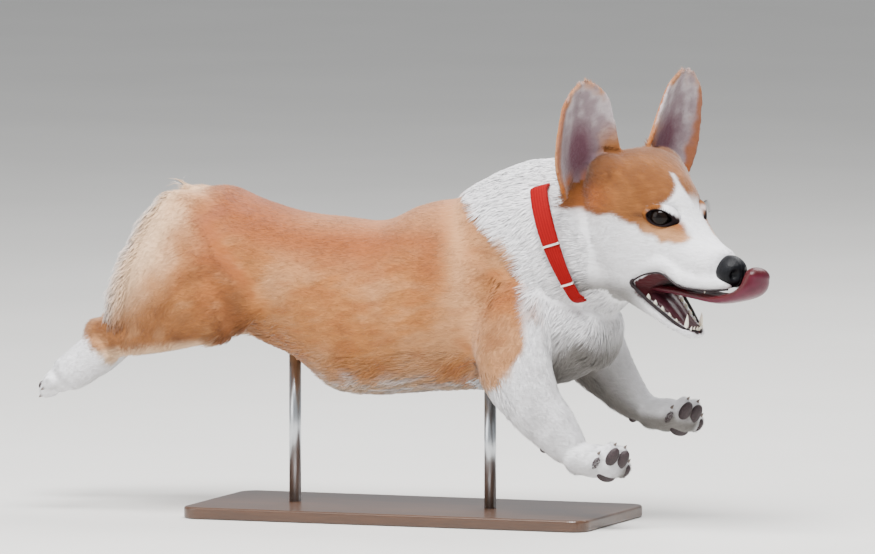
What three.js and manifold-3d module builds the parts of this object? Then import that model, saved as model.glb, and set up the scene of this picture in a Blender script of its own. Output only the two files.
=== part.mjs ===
// A Pembroke Welsh corgi at life size, caught at full stretch in a leap, on a plain display stand.
// Lengths are millimetres, angles are degrees, +X is the way the body heads, +Y is the dog's left, +Z is up.
import * as THREE from 'three';
import { mergeVertices } from 'three/addons/utils/BufferGeometryUtils.js';
import Module from 'manifold-3d';

const wasm = await Module();
wasm.setup();

// Driving dimensions

const GAP = 0.3;
const FLESH_GAP = 0.5;
const RIGHT = -1;
const LEFT = 1;

// Trunk, from the rump to the breastbone: x, y, z of the middle, half width, height above and below it
const TRUNK = [
  [-232, 0, 84, 26, 20, 26],
  [-212, 0, 66, 46, 43, 44],
  [-182, 0, 56, 57, 58, 62],
  [-150, 0, 36, 63, 66, 78],
  [-105, 0, 18, 69, 72, 80],
  [-60, 0, 0, 74, 86, 92],
  [-14, 0, -5, 77, 89, 90],
  [30, 0, 0, 79, 102, 91],
  [80, 0, 4, 78, 104, 91],
  [130, 0, 4, 74, 84, 86],
  [180, 0, -12, 66, 52, 64],
  [214, 0, -26, 50, 32, 34],
];
const CHEST_ROUNDING = 16;
const RUMP_ROUNDING = 8;

// Neck, from between the shoulders to the back of the head
const NECK = [
  [60, 0, 28, 64, 62, 60],
  [110, 0, 46, 69, 80, 78],
  [160, -2, 62, 71, 87, 90],
  [205, -6, 76, 67, 80, 88],
  [228, -10, 83, 58, 66, 76],
];
const NECK_ROUNDING = 12;

// Head: the place of the point between the eyes, and how the head is turned
const HEAD_PLACE = [310, -38, 97];
const HEAD_YAW = -24.5;
const HEAD_PITCH = 12;
const HEAD_ROLL = 2;

// Head from the back of the skull to the muzzle's end, in its own frame with x towards the nose
const HEAD = [
  [-98, 0, 4, 44, 34, 56],
  [-80, 0, 0, 55, 48, 84],
  [-58, 0, -4, 59, 58, 98],
  [-36, 0, -10, 54, 62, 88],
  [-16, 0, -16, 40, 60, 72],
  [2, 0, -22, 34, 53, 50],
  [20, 0, -28, 30.5, 33, 32],
  [38, 0, -32, 28.5, 22.5, 29],
  [58, 0, -36, 26, 20.5, 24],
  [76, 0, -38, 22, 18, 19],
];
const OCCIPUT_ROUNDING = 10;
const MUZZLE_ROUNDING = 12;

// Space of the open mouth under the upper lip
const MOUTH = [
  [-34, 0, -78, 20, 3, 4],
  [-20, 0, -72, 30, 4, 8],
  [-4, 0, -72, 36, 15, 26],
  [16, 0, -74, 38, 21, 40],
  [38, 0, -78, 38, 18, 40],
  [62, 0, -80, 38, 21, 40],
  [88, 0, -80, 38, 26, 40],
  [114, 0, -80, 38, 30, 40],
];

// Swelling of fur and muscle at each ear's root
const EAR_ROOT_PLACE = [-66, 35, 28];
const EAR_ROOT_SIZE = [52, 46, 54];

// Eyes and lids
const EYE_PLACE = [-3, 23.5, 0];
const EYE_RADIUS = 11.5;
const EYE_FACING = 30;
const SOCKET_DEPTH = 12;
const SOCKET_SIZE = [12, 34, 22];
const LID_LENGTH = 31;
const LID_HEIGHT = 20;
const LID_THICKNESS = 2.4;
const LID_PINCH = 0.35;
const LID_OVER_BALL = 1.2;

// Nose leather
const NOSE_PLACE = [79, 0, -37];
const NOSE_SIZE = [34, 32, 31];
const NOSTRIL_SIZE = [10, 6, 8];
const NOSTRIL_PLACE = [0.4, 0.24];

// Ears: base and tip in the head's frame for the left ear, with the half width up the ear
const EAR_BASE = [-74, 56, 8];
const EAR_TIP = [-82, 74, 122];
const EAR_FACING = 6;
const EAR_HALF_WIDTHS = [30, 37, 40, 38, 33, 26, 16];
const EAR_CUP = 25.5;
const EAR_THICKNESS = 4;
const EAR_TIP_STARTS = 0.8;
const EAR_TIP_SPAN = 0.205;

// Lower jaw, tongue and teeth in the head's frame
const JAW = [
  [-50, 0, -72, 34, 10, 18],
  [-28, 0, -81, 31, 8, 14],
  [-4, 0, -92, 26, 6, 12],
  [20, 0, -103, 19, 5, 10],
  [36, 0, -108, 15, 4, 8],
];
const JAW_ROUNDING = 11;
const MOUTH_FLOOR = [
  [-30, 0, -71, 22, 6, 6],
  [-4, 0, -84, 18, 6, 6],
  [20, 0, -97, 11, 5, 5],
  [30, 0, -103, 7, 4, 4],
];
const TONGUE = [
  [-46, 0, -82, 14, 5, 6],
  [-18, -1, -78, 15, 4, 5],
  [14, -3, -72, 16, 4, 4.5],
  [45, -4, -68, 17, 4, 5],
  [76, -3, -64, 18, 4.5, 6],
  [97, -1, -57, 18, 6, 7.5],
  [110, 2, -45, 17, 7, 8],
  [113, 4, -33, 14, 7, 7],
];
const TONGUE_ROUNDING = 9;

// Lower teeth of one side: the first tooth's place, the step to the next, and each tooth's shape
const CANINES = { count: 1, place: [36, 10.5, -104], step: [0, 0, 0], length: 15, radius: 2.6, lean: 8 };
const INCISORS = { count: 3, place: [41.5, 1.6, -106], step: [-0.9, 3, 0], length: 6, radius: 1.6, lean: 10 };
const CHEEK_TEETH = {
  count: 5, place: [26, 14, -101], step: [-8.5, 2.1, 4.3], length: 6, radius: 2.6, lean: 0,
};

// Forelegs: x, y, z of the middle, half width, half depth in front and behind
const FORELEG_RIGHT = [
  [138, -46, 34, 20, 36, 36],
  [140, -58, -8, 27, 44, 42],
  [146, -66, -54, 25, 42, 42],
  [165, -66, -92, 21, 33, 33],
  [184, -64, -115, 18, 29, 29],
  [200, -62, -136, 16, 24, 22],
];
const FORELEG_LEFT = [
  [160, 42, 30, 20, 36, 36],
  [166, 52, -8, 26, 46, 42],
  [182, 58, -44, 24, 40, 40],
  [210, 56, -78, 20, 27, 30],
  [228, 54, -97, 17, 22, 23],
  [244, 52, -107, 15, 17, 17],
];
const FORELEG_ROUNDING = [14, 12];
const FOREPAW_RIGHT = { place: [232, -62, -149], heading: [0.98, 0, -0.1], wrist: [206, -62, -140] };
const FOREPAW_LEFT = { place: [269, 52, -112], heading: [0.99, 0, -0.1], wrist: [246, 52, -107] };
const FOREPAW_LENGTH = 56;
const FOREPAW_WIDTH = 44;

// Hind legs: the thigh, then the shank thrown back, then the foot
const THIGH = [
  [-198, 30, 86, 20, 42, 36],
  [-212, 49, 48, 29, 58, 46],
  [-222, 60, 6, 31, 72, 54],
  [-226, 62, -24, 26, 78, 56],
];
const THIGH_ROUNDING = 20;
const SHANK = [
  [-170, 62, -18, 24, 24, 26],
  [-225, 60, -28, 24, 26, 28],
  [-272, 57, -36, 20, 22, 26],
  [-300, 55, -37, 16, 18, 20],
];
const SHANK_ROUNDING = 16;
const HIND_FOOT = [
  [-296, 55, -48, 15, 19, 21],
  [-318, 55, -67, 16, 18, 21],
  [-334, 55, -80, 18, 18, 18],
];
const HOCK_PLANE = { point: [-302, 0, -52], normal: [-0.75, 0, -0.66] };
const STIFLE_PLANE = { point: [-214, 0, -14], normal: [-0.25, 0, -0.97] };
const HIND_HEADING = [-0.86, 0, -0.5];
const LEFT_FOOT_TRAIL = -24;
const HIND_PAW_LENGTH = 44;
const HIND_PAW_WIDTH = 38;

// A paw's shape as shares of its length, width and height
const PAW_HEIGHT = 0.66;
const PAW_BODY = { back: 0.05, length: 0.45, width: 0.46, height: 0.6 };
const INNER_TOE_FORWARD = 0.36;
const OUTER_TOE_FORWARD = 0.24;
const TOE_SPREAD = 0.37;
const TOE_SIZE = { length: 0.2, width: 0.15, height: 0.42 };
const CLAW_SIZE = { radius: 2.2, length: 11, droop: 22 };
const PAD_SIZE = { length: 0.17, width: 0.26, depth: 5 };

// Fold of skin at each flank that joins the trunk to the thigh
const FLANK = [
  [-200, 58, 30, 25, 34, 34],
  [-172, 60, 6, 21, 36, 34],
  [-142, 57, -14, 13, 28, 26],
];

// Tail stub, in the middle above the rump
const TAIL = [
  [-206, 0, 92, 14, 12, 12],
  [-220, 0, 100, 12, 9, 11],
  [-229, 0, 106, 8, 6, 7],
];
const TAIL_ROUNDING = 5;

// Coats of locks. A row is [place along the form, first and last angle round it, number of locks].
// Lie is the way the hair runs, bend how far a lock turns in with the body under it.
const RUFF = {
  rows: [[0.56, 0, 320, 9], [0.42, 20, 340, 8], [0.28, 0, 180, 5]],
  lie: [-0.92, 0, -0.3], length: 58, width: 46, thickness: 8, lift: 7, bend: 13,
};
const CHEST_LOCKS = {
  rows: [[0.97, 215, 325, 4], [0.88, 225, 315, 4]],
  lie: [-0.7, 0, -0.7], length: 46, width: 34, thickness: 7, lift: 6, bend: 10,
};
const BELLY_LOCKS = {
  rows: [[0.8, 238, 302, 3], [0.71, 245, 295, 2], [0.62, 238, 302, 3], [0.53, 245, 295, 2],
    [0.44, 238, 302, 3]],
  lie: [-0.92, 0, -0.4], length: 58, width: 42, thickness: 7, lift: 8, bend: 2,
};
const BREECHES = {
  rows: [[0.08, 230, 300, 2], [0.3, 212, 308, 3], [0.54, 225, 300, 2], [0.76, 212, 308, 3]],
  lie: [-0.42, 0, -0.9], length: 56, width: 40, thickness: 8, lift: 7, bend: 4,
};
const SHANK_LOCKS = {
  rows: [[0.14, 250, 290, 2], [0.42, 270, 270, 1]],
  lie: [-0.95, 0, -0.3], length: 42, width: 28, thickness: 6, lift: 5, bend: 0,
};
const ELBOW_LOCKS = {
  rows: [[0.28, 252, 288, 2], [0.55, 270, 270, 1]],
  lie: [0.02, 0, -1], length: 40, width: 26, thickness: 6, lift: 4, bend: 0,
};
const TAIL_TUFT = {
  rows: [[0.35, 40, 320, 3], [0.85, 90, 330, 3]],
  lie: [-0.8, 0, 0.45], length: 14, width: 11, thickness: 4, lift: 2, bend: 0,
};
const LOCK_SHAPE = [[0, 0.6], [0.34, 1], [0.7, 0.74], [1, 0.2]];
const LOCK_SINK = 6;
const LOCK_VARIETY = 0.16;
const LOCK_SWING = 10;
const SEED = 11;

// Collar: how far along the neck, strap width and thickness, and how deep it sits in the coat
const COLLAR_PLACE = 0.63;
const COLLAR_WIDTH = 17;
const COLLAR_THICKNESS = 3;
const COLLAR_DEPTH = 1.5;
const KEEPER_ANGLES = [184, 212];
const KEEPER_WIDTH = 3;
const KEEPER_WALL = 1.2;

// Stand
const BASE_SIZE = [430, 190, 12];
const BASE_TOP = -206;
const BASE_MIDDLE_X = 14;
const BASE_CORNER = 18;
const ROD_RADIUS = 6;
const ROD_DEPTH_IN_BODY = 12;
const RODS = { stand_rod_front: [96, -92], stand_rod_rear: [-112, -64] };

// Materials

const COAT_TAN = new THREE.MeshStandardMaterial({ color: 0xc8966e, roughness: 0.9 });
const COAT_WHITE = new THREE.MeshStandardMaterial({ color: 0xe8e6e4, roughness: 0.9 });
const LEATHER = new THREE.MeshStandardMaterial({ color: 0x22242e, roughness: 0.4 });
const TONGUE_PINK = new THREE.MeshStandardMaterial({ color: 0x8c3a5a, roughness: 0.35 });
const EYE_GLASS = new THREE.MeshStandardMaterial({ color: 0x1a120e, roughness: 0.08 });
const COLLAR_RED = new THREE.MeshStandardMaterial({ color: 0xe62c2c, roughness: 0.6 });
const KEEPER_METAL = new THREE.MeshStandardMaterial({ color: 0xd8d4d0, roughness: 0.3, metalness: 1 });
const ROD_STEEL = new THREE.MeshStandardMaterial({ color: 0xb8bcc0, roughness: 0.35, metalness: 1 });
const BASE_WOOD = new THREE.MeshStandardMaterial({ color: 0x3c2a20, roughness: 0.5 });

// Small tools

const vec = (x, y, z) => new THREE.Vector3(x, y, z);
const radians = THREE.MathUtils.degToRad;
const mirrored = (rows, side) => rows.map(([x, y, ...rest]) => [x, side * Math.abs(y), ...rest]);

// A value that runs smoothly through a list of numbers as s goes from 0 to 1
function smooth(values, s) {
  const last = values.length - 1;
  const at = Math.min(Math.max(s, 0), 1) * last;
  const i = Math.min(Math.floor(at), last - 1);
  const t = at - i;
  const b = values[i];
  const c = values[i + 1];
  const a = i > 0 ? values[i - 1] : 2 * b - c;
  const d = i + 2 <= last ? values[i + 2] : 2 * c - b;
  return 0.5 * (2 * b + (c - a) * t + (2 * a - 5 * b + 4 * c - d) * t * t
    + (3 * b - a - 3 * c + d) * t * t * t);
}

// A form is a line of stations with an oval section at each: its ring at s
function ringAt(form, s) {
  const column = (k) => smooth(form.stations.map((row) => row[k]), s);
  const middle = vec(column(0), column(1), column(2));
  const step = 0.01;
  const line = (q) => vec(...[0, 1, 2].map((k) => smooth(form.stations.map((row) => row[k]), q)));
  const along = form.upright ? vec(1, 0, 0)
    : line(Math.min(s + step, 1)).sub(line(Math.max(s - step, 0))).normalize();
  const across = vec(...(form.across ?? [0, 1, 0]));
  across.addScaledVector(along, -across.dot(along)).normalize();
  const up = along.clone().cross(across);
  return { middle, along, across, up, width: column(3), above: column(4), below: column(5) };
}

// The point of a form's surface at s along it and the angle turned from its across axis, grown by a margin
function surfacePoint(form, s, angle, scale = 1, push = 0, margin = 0) {
  const ring = ringAt(form, s);
  const power = 2 / (form.fullness ?? 2);
  const shape = (v) => Math.sign(v) * Math.abs(v) ** power;
  const c = shape(Math.cos(angle)) * (ring.width + margin) * scale;
  const height = Math.sin(angle) > 0 ? ring.above : ring.below;
  const v = shape(Math.sin(angle)) * (height + margin) * scale;
  return ring.middle.addScaledVector(ring.across, c).addScaledVector(ring.up, v)
    .addScaledVector(ring.along, push);
}

// The rows of a form from its first pole to its last: place along, share of the section, push past the end
function rowsOf(form, steps, margin) {
  const [first, last] = form.rounding ?? [0, 0];
  const dome = [30, 62];
  const rows = [{ s: 0, scale: 0, push: -first - margin }];
  if (first > 0) {
    dome.forEach((a) => rows.push(
      { s: 0, scale: Math.sin(radians(a)), push: -first * Math.cos(radians(a)) }));
  }
  for (let k = 0; k <= steps; k += 1) {
    const push = k === 0 && !first ? -margin : k === steps && !last ? margin : 0;
    rows.push({ s: k / steps, scale: 1, push });
  }
  if (last > 0) {
    [...dome].reverse().forEach((a) => rows.push(
      { s: 1, scale: Math.sin(radians(a)), push: last * Math.cos(radians(a)) }));
  }
  rows.push({ s: 1, scale: 0, push: last + margin });
  return rows;
}

// The closed body of a form: a sphere's rows and columns laid on its sections
function bodyOf(form, sides, steps, margin = 0) {
  const rows = rowsOf(form, steps, margin);
  const sphere = new THREE.SphereGeometry(1, sides, rows.length - 1);
  const place = sphere.getAttribute('position');
  rows.forEach((row, i) => {
    for (let j = 0; j <= sides; j += 1) {
      const angle = (2 * Math.PI * (j % sides)) / sides;
      const p = surfacePoint(form, row.s, angle, row.scale, row.push, margin);
      place.setXYZ(i * (sides + 1) + j, p.x, p.y, p.z);
    }
  });
  return solidOf(sphere);
}

// A geometry as a solid that can be joined and cut
function solidOf(geometry) {
  const bare = geometry.clone();
  bare.deleteAttribute('normal');
  bare.deleteAttribute('uv');
  const merged = mergeVertices(bare, 1e-4);
  const triVerts = new Uint32Array(merged.index.array);
  const make = () => new wasm.Manifold(new wasm.Mesh({
    numProp: 3, vertProperties: new Float32Array(merged.getAttribute('position').array), triVerts,
  }));
  const solid = make();
  if (solid.volume() > 0) return solid;
  for (let i = 0; i < triVerts.length; i += 3) {
    [triVerts[i + 1], triVerts[i + 2]] = [triVerts[i + 2], triVerts[i + 1]];
  }
  return make();
}

const joined = (solids) => solids.reduce((a, b) => a.add(b));
const cutBy = (solid, tools) => tools.reduce((a, b) => a.subtract(b), solid);

// The largest closed piece of a solid
function largest(solid) {
  return solid.decompose().reduce((a, b) => (a.volume() > b.volume() ? a : b));
}

// The part of a solid on the side of a plane that its normal points to, half a gap clear of the plane
function beyond(solid, point, normal) {
  const n = vec(...normal).normalize();
  return solid.trimByPlane(n.toArray(), n.dot(vec(...point)) + GAP / 2);
}

// Numbers between -1 and 1 in a fixed order
function seededDraw(seed) {
  let state = seed;
  return () => {
    state = (Math.imul(state, 1664525) + 1013904223) >>> 0;
    return state / 2 ** 31 - 1;
  };
}

// The direction straight out of a form's surface
function surfaceNormal(form, s, angle) {
  const [along, round] = [0.01, 0.05];
  const ahead = surfacePoint(form, Math.min(s + along, 1), angle);
  const run = ahead.sub(surfacePoint(form, Math.max(s - along, 0), angle));
  const turn = surfacePoint(form, s, angle + round).sub(surfacePoint(form, s, angle - round));
  const out = turn.cross(run).normalize();
  const fromMiddle = surfacePoint(form, s, angle).sub(ringAt(form, s).middle);
  return out.dot(fromMiddle) < 0 ? out.negate() : out;
}

// One lock: a flat tapered blade with its root sunk in a form, bent along the lie of the coat
function lockOn(form, s, angle, coat, vary, margin) {
  const root = surfacePoint(form, s, angle);
  const out = surfaceNormal(form, s, angle);
  const flow = vec(...coat.lie);
  flow.addScaledVector(out, -out.dot(flow)).normalize().applyAxisAngle(out, radians(LOCK_SWING * vary[0]));
  const length = coat.length * (1 + LOCK_VARIETY * vary[1]);
  const width = coat.width * (1 + LOCK_VARIETY * vary[2]);
  const lift = coat.lift * (1 + 2 * LOCK_VARIETY * vary[0]);
  const stations = LOCK_SHAPE.map(([t, share]) => {
    const height = -LOCK_SINK + (LOCK_SINK + lift) * Math.sin(Math.min(1.5 * t, 1) * Math.PI / 2)
      - coat.bend * t * t;
    const p = root.clone().addScaledVector(flow, length * t).addScaledVector(out, height);
    const half = [width / 2, coat.thickness / 2, coat.thickness / 2].map((v) => v * share);
    return [...p.toArray(), ...half];
  });
  const across = out.clone().cross(flow).toArray();
  return bodyOf({ stations, across }, 4, 3, margin);
}

// All the locks of a coat, set in staggered rows on a form
function locksOn(form, coat, margin = 0) {
  const draw = seededDraw(SEED);
  return coat.rows.flatMap(([s, first, last, count]) => Array.from({ length: count }, (_, k) => {
    const angle = radians(first + ((last - first) * k) / Math.max(count - 1, 1));
    return lockOn(form, s, angle, coat, [draw(), draw(), draw()], margin);
  }));
}

// An oval ball with its middle at a place
function ball(place, radii, sides, rows) {
  return new THREE.SphereGeometry(1, sides, rows).scale(...radii).translate(...place);
}

const parts = new THREE.Group();

// Adds a solid to the model as a named mesh
function addNode(name, solid, material) {
  const { vertProperties, triVerts } = largest(solid).getMesh();
  const geometry = new THREE.BufferGeometry();
  geometry.setAttribute('position', new THREE.BufferAttribute(vertProperties, 3));
  geometry.setIndex(new THREE.BufferAttribute(triVerts, 1));
  geometry.computeVertexNormals();
  const mesh = new THREE.Mesh(geometry, material);
  mesh.name = name;
  parts.add(mesh);
  return mesh;
}

// The head's turn and place
const headTurn = new THREE.Matrix4().makeTranslation(...HEAD_PLACE)
  .multiply(new THREE.Matrix4().makeRotationZ(radians(HEAD_YAW)))
  .multiply(new THREE.Matrix4().makeRotationY(radians(HEAD_PITCH)))
  .multiply(new THREE.Matrix4().makeRotationX(radians(HEAD_ROLL)));
const inPlace = (solid) => solid.transform(headTurn.elements);

// Head

const headForm = {
  stations: HEAD, rounding: [OCCIPUT_ROUNDING, MUZZLE_ROUNDING], fullness: 2.35, upright: true,
};

// The eyeball's middle and the way it looks, for one side
function eyeFrame(side) {
  const [x, y, z] = EYE_PLACE;
  const out = vec(Math.sin(radians(EYE_FACING)), side * Math.cos(radians(EYE_FACING)), 0.08).normalize();
  return { middle: vec(x, side * y, z), out };
}

// A ring of lid round the eye: almond shaped and drawn over the ball
function lidOf(side) {
  const { middle, out } = eyeFrame(side);
  const level = vec(0, 0, 1).cross(out).normalize().multiplyScalar(-side);
  const upward = out.clone().cross(level).multiplyScalar(side).normalize();
  const [tubeSides, turns] = [4, 14];
  const torus = new THREE.TorusGeometry(1, 0.2, tubeSides, turns);
  const place = torus.getAttribute('position');
  const stride = turns + 1;
  for (let i = 0; i < place.count; i += 1) {
    const turn = ((i % stride) % turns) / turns * 2 * Math.PI;
    const tube = (Math.floor(i / stride) % tubeSides) / tubeSides * 2 * Math.PI;
    const a = Math.cos(turn) * LID_LENGTH / 2;
    const b = Math.sin(turn) * LID_HEIGHT / 2 * (1 - LID_PINCH * Math.cos(turn) ** 2);
    const flat = Math.hypot(a, b);
    const depth = Math.sqrt(Math.max((EYE_RADIUS + LID_OVER_BALL) ** 2 - flat * flat, 9));
    const reach = Math.cos(tube) * LID_THICKNESS / flat;
    const p = middle.clone().addScaledVector(level, a * (1 + reach)).addScaledVector(upward, b * (1 + reach))
      .addScaledVector(out, depth + Math.sin(tube) * LID_THICKNESS);
    place.setXYZ(i, p.x, p.y, p.z);
  }
  return solidOf(torus);
}

function eyeBall(side, margin) {
  const radius = EYE_RADIUS + margin;
  return ball(eyeFrame(side).middle.toArray(), [radius, radius, radius], 10, 7);
}

// Nose leather, with its nostrils cut in
function noseSolid(margin) {
  const radii = NOSE_SIZE.map((v) => v / 2 + margin);
  return solidOf(ball(NOSE_PLACE, radii, 12, 7));
}

function nostril(side) {
  const [x, y, z] = NOSE_PLACE;
  const [forward, aside] = NOSTRIL_PLACE;
  return solidOf(ball([x + NOSE_SIZE[0] * forward, side * (y + NOSE_SIZE[1] * aside), z + 1],
    NOSTRIL_SIZE.map((v) => v / 2), 6, 4));
}

// Ear leaf: a cupped shell that opens forwards, swept up from base to tip
function earSolid(side, margin = 0) {
  const base = vec(EAR_BASE[0], side * EAR_BASE[1], EAR_BASE[2]);
  const tip = vec(EAR_TIP[0], side * EAR_TIP[1], EAR_TIP[2]);
  const rise = tip.clone().sub(base);
  const along = rise.clone().normalize();
  const facing = vec(Math.cos(radians(EAR_FACING)), side * Math.sin(radians(EAR_FACING)), 0);
  facing.addScaledVector(along, -facing.dot(along)).normalize();
  const outward = along.clone().cross(facing).multiplyScalar(-side);
  const columns = 6;
  const rows = 7;
  const leaf = new THREE.BoxGeometry(1, 1, 1, columns, rows, 1);
  const place = leaf.getAttribute('position');
  for (let i = 0; i < place.count; i += 1) {
    const u = place.getX(i) * 2;
    const t = Math.sin((place.getY(i) + 0.5) * Math.PI / 2) ** 1.25;
    const face = place.getZ(i) > 0 ? 1 : -1;
    const intoTip = Math.max(t - EAR_TIP_STARTS, 0) / EAR_TIP_SPAN;
    const half = smooth(EAR_HALF_WIDTHS, t) * Math.sqrt(Math.max(1 - intoTip ** 2, 0.02));
    const cup = -EAR_CUP * (1 - u * u) * (1 - 0.75 * t);
    const thick = (EAR_THICKNESS * (1 - 0.55 * Math.abs(u) ** 3) * (1 - 0.4 * t)) / 2 + margin;
    const p = base.clone().addScaledVector(rise, t).addScaledVector(outward, u * (half + margin))
      .addScaledVector(facing, cup + face * thick);
    place.setXYZ(i, p.x, p.y, p.z);
  }
  return solidOf(leaf);
}

const eyes = { right: eyeBall(RIGHT, 0), left: eyeBall(LEFT, 0) };
const earRoot = (side, margin) => solidOf(ball(
  [EAR_ROOT_PLACE[0], side * EAR_ROOT_PLACE[1], EAR_ROOT_PLACE[2]],
  EAR_ROOT_SIZE.map((v) => v / 2 + margin), 10, 7));
const mouthCut = bodyOf({ stations: MOUTH, fullness: 3 }, 12, 7);
const socketSolid = (side) => {
  const { middle, out } = eyeFrame(side);
  const place = middle.clone().addScaledVector(out, SOCKET_DEPTH);
  const turn = new THREE.Matrix4().makeRotationZ(side * radians(90 - EYE_FACING)).setPosition(place);
  return solidOf(ball([0, 0, 0], SOCKET_SIZE.map((v) => v / 2), 10, 6).applyMatrix4(turn));
};
const headFlesh = joined([
  cutBy(bodyOf(headForm, 16, 12), [socketSolid(RIGHT), socketSolid(LEFT)]), lidOf(RIGHT), lidOf(LEFT),
  earRoot(RIGHT, 0), earRoot(LEFT, 0),
]);
const jawForm = { stations: JAW, rounding: [0, JAW_ROUNDING], fullness: 2.4 };
const tongueForm = { stations: TONGUE, rounding: [0, TONGUE_ROUNDING], fullness: 2.2 };
const tongue = bodyOf(tongueForm, 8, 9);
const tongueRoom = bodyOf(tongueForm, 8, 9, GAP);

const headSolid = largest(cutBy(headFlesh, [
  solidOf(eyeBall(RIGHT, GAP)), solidOf(eyeBall(LEFT, GAP)), noseSolid(GAP), mouthCut, tongueRoom,
]));

const headRoom = joined([bodyOf(headForm, 16, 12, GAP), earRoot(RIGHT, GAP), earRoot(LEFT, GAP)]);

// Teeth stand on the lower jaw in two rows that meet in front
function toothOf(side, k, { place, step, length, radius, lean }) {
  const [x, y, z] = place.map((v, i) => v + k * step[i]);
  const tooth = new THREE.ConeGeometry(radius, length, 5, 1);
  tooth.rotateX(radians(90)).rotateY(radians(lean)).translate(x, side * y, z + length * 0.2);
  return solidOf(tooth);
}

const lowerTeeth = () => [RIGHT, LEFT].flatMap((side) => [CANINES, INCISORS, CHEEK_TEETH].flatMap(
  (row) => Array.from({ length: row.count }, (_, k) => toothOf(side, k, row))));

const mouthFloor = bodyOf({ stations: MOUTH_FLOOR, rounding: [0, 3] }, 8, 4);
const jawFlesh = joined([cutBy(bodyOf(jawForm, 14, 6), [mouthFloor]), ...lowerTeeth()]);
const jawSolid = cutBy(jawFlesh, [headRoom, tongueRoom]);

addNode('head', inPlace(headSolid), COAT_TAN);
addNode('lower_jaw', inPlace(jawSolid), COAT_WHITE);
addNode('tongue', inPlace(tongue), TONGUE_PINK);
addNode('nose', inPlace(cutBy(noseSolid(0), [nostril(RIGHT), nostril(LEFT), tongueRoom])), LEATHER);
addNode('eye_right', inPlace(solidOf(eyes.right)), EYE_GLASS);
addNode('eye_left', inPlace(solidOf(eyes.left)), EYE_GLASS);
addNode('ear_right', inPlace(cutBy(earSolid(RIGHT), [headRoom])), COAT_TAN);
addNode('ear_left', inPlace(cutBy(earSolid(LEFT), [headRoom])), COAT_TAN);

const headRoomInPlace = [headRoom, bodyOf(jawForm, 14, 6, GAP), tongueRoom].map(inPlace);
const earRoomInPlace = [earSolid(RIGHT, GAP), earSolid(LEFT, GAP)].map(inPlace);

// Trunk, neck and collar

const trunkForm = {
  stations: TRUNK, rounding: [RUMP_ROUNDING, CHEST_ROUNDING], fullness: 2.15, upright: true,
};
const neckForm = { stations: NECK, rounding: [0, NECK_ROUNDING], fullness: 2.1 };
const flankForm = (side) => ({ stations: mirrored(FLANK, side), rounding: [10, 10], fullness: 2.2 });
const trunkBody = (margin) => joined([
  bodyOf(trunkForm, 18, 13, margin),
  bodyOf(flankForm(RIGHT), 8, 3, margin),
  bodyOf(flankForm(LEFT), 8, 3, margin),
]);
const trunkWhole = trunkBody(0);
const trunkRoom = trunkBody(FLESH_GAP);

// A strap round the neck: a closed loop of rectangular section that follows the neck's own oval
function strapSolid(margin, width = COLLAR_WIDTH, rise = 0, from = 0, sweep = 360) {
  const turns = 28;
  const loop = new THREE.TorusGeometry(10, 2, 4, turns);
  const place = loop.getAttribute('position');
  const stride = turns + 1;
  const neckRing = (angle, push, depth) => surfacePoint(neckForm, COLLAR_PLACE, angle, 1, push, depth);
  for (let i = 0; i < place.count; i += 1) {
    const corner = Math.floor(i / stride) % 4;
    const angle = radians(from + (sweep * ((i % stride) % turns)) / turns);
    const outer = corner === 0 || corner === 3;
    const front = corner < 2 ? 1 : -1;
    const depth = -COLLAR_DEPTH + (outer ? COLLAR_THICKNESS + rise + margin : -margin - rise);
    const p = neckRing(angle, front * (width / 2 + margin), depth);
    place.setXYZ(i, p.x, p.y, p.z);
  }
  return solidOf(loop);
}

// A keeper: a thin metal band round the strap at one place on the neck
function keeperSolid(angle, margin) {
  const ring = ringAt(neckForm, COLLAR_PLACE);
  const midStrap = -COLLAR_DEPTH + COLLAR_THICKNESS / 2;
  const pointAt = (degrees) => surfacePoint(neckForm, COLLAR_PLACE, radians(degrees), 1, 0, midStrap);
  const spot = pointAt(angle);
  const run = pointAt(angle + 4).sub(spot).normalize();
  const out = run.clone().cross(ring.along).normalize();
  const turn = new THREE.Matrix4().makeBasis(run, ring.along, out).setPosition(spot);
  const extra = 2 * (KEEPER_WALL + GAP + margin);
  const outer = new THREE.BoxGeometry(
    KEEPER_WIDTH + 2 * margin, COLLAR_WIDTH + extra, COLLAR_THICKNESS + extra + 1);
  return solidOf(outer.applyMatrix4(turn));
}

const collar = strapSolid(0);
const collarRoom = strapSolid(GAP);
const neckWhole = bodyOf(neckForm, 18, 6);
const keepers = KEEPER_ANGLES.map((angle) => keeperSolid(angle, 0));
const keeperRoom = KEEPER_ANGLES.map((angle) => keeperSolid(angle, GAP));

// Stand

const rodSolid = ([x, top], margin) => {
  const bottom = BASE_TOP + GAP - margin;
  const length = top + ROD_DEPTH_IN_BODY + margin - bottom;
  return solidOf(new THREE.CylinderGeometry(ROD_RADIUS + margin, ROD_RADIUS + margin, length, 20)
    .rotateX(radians(90)).translate(x, 0, bottom + length / 2));
};
const rodRoom = Object.values(RODS).map((rod) => rodSolid(rod, GAP));

function baseSolid() {
  const [length, width, height] = BASE_SIZE;
  const [a, b, r] = [length / 2, width / 2, BASE_CORNER];
  const outline = new THREE.Shape();
  outline.moveTo(-a + r, -b).lineTo(a - r, -b).absarc(a - r, -b + r, r, -Math.PI / 2, 0);
  outline.lineTo(a, b - r).absarc(a - r, b - r, r, 0, Math.PI / 2);
  outline.lineTo(-a + r, b).absarc(-a + r, b - r, r, Math.PI / 2, Math.PI);
  outline.lineTo(-a, -b + r).absarc(-a + r, -b + r, r, Math.PI, 1.5 * Math.PI);
  const plate = new THREE.ExtrudeGeometry(outline, { depth: height, bevelEnabled: false, curveSegments: 6 });
  return solidOf(plate.translate(BASE_MIDDLE_X, 0, BASE_TOP - height));
}

// Limbs

const limb = (stations, across, rounding, fullness = 2.2) => ({ stations, across, rounding, fullness });

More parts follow.
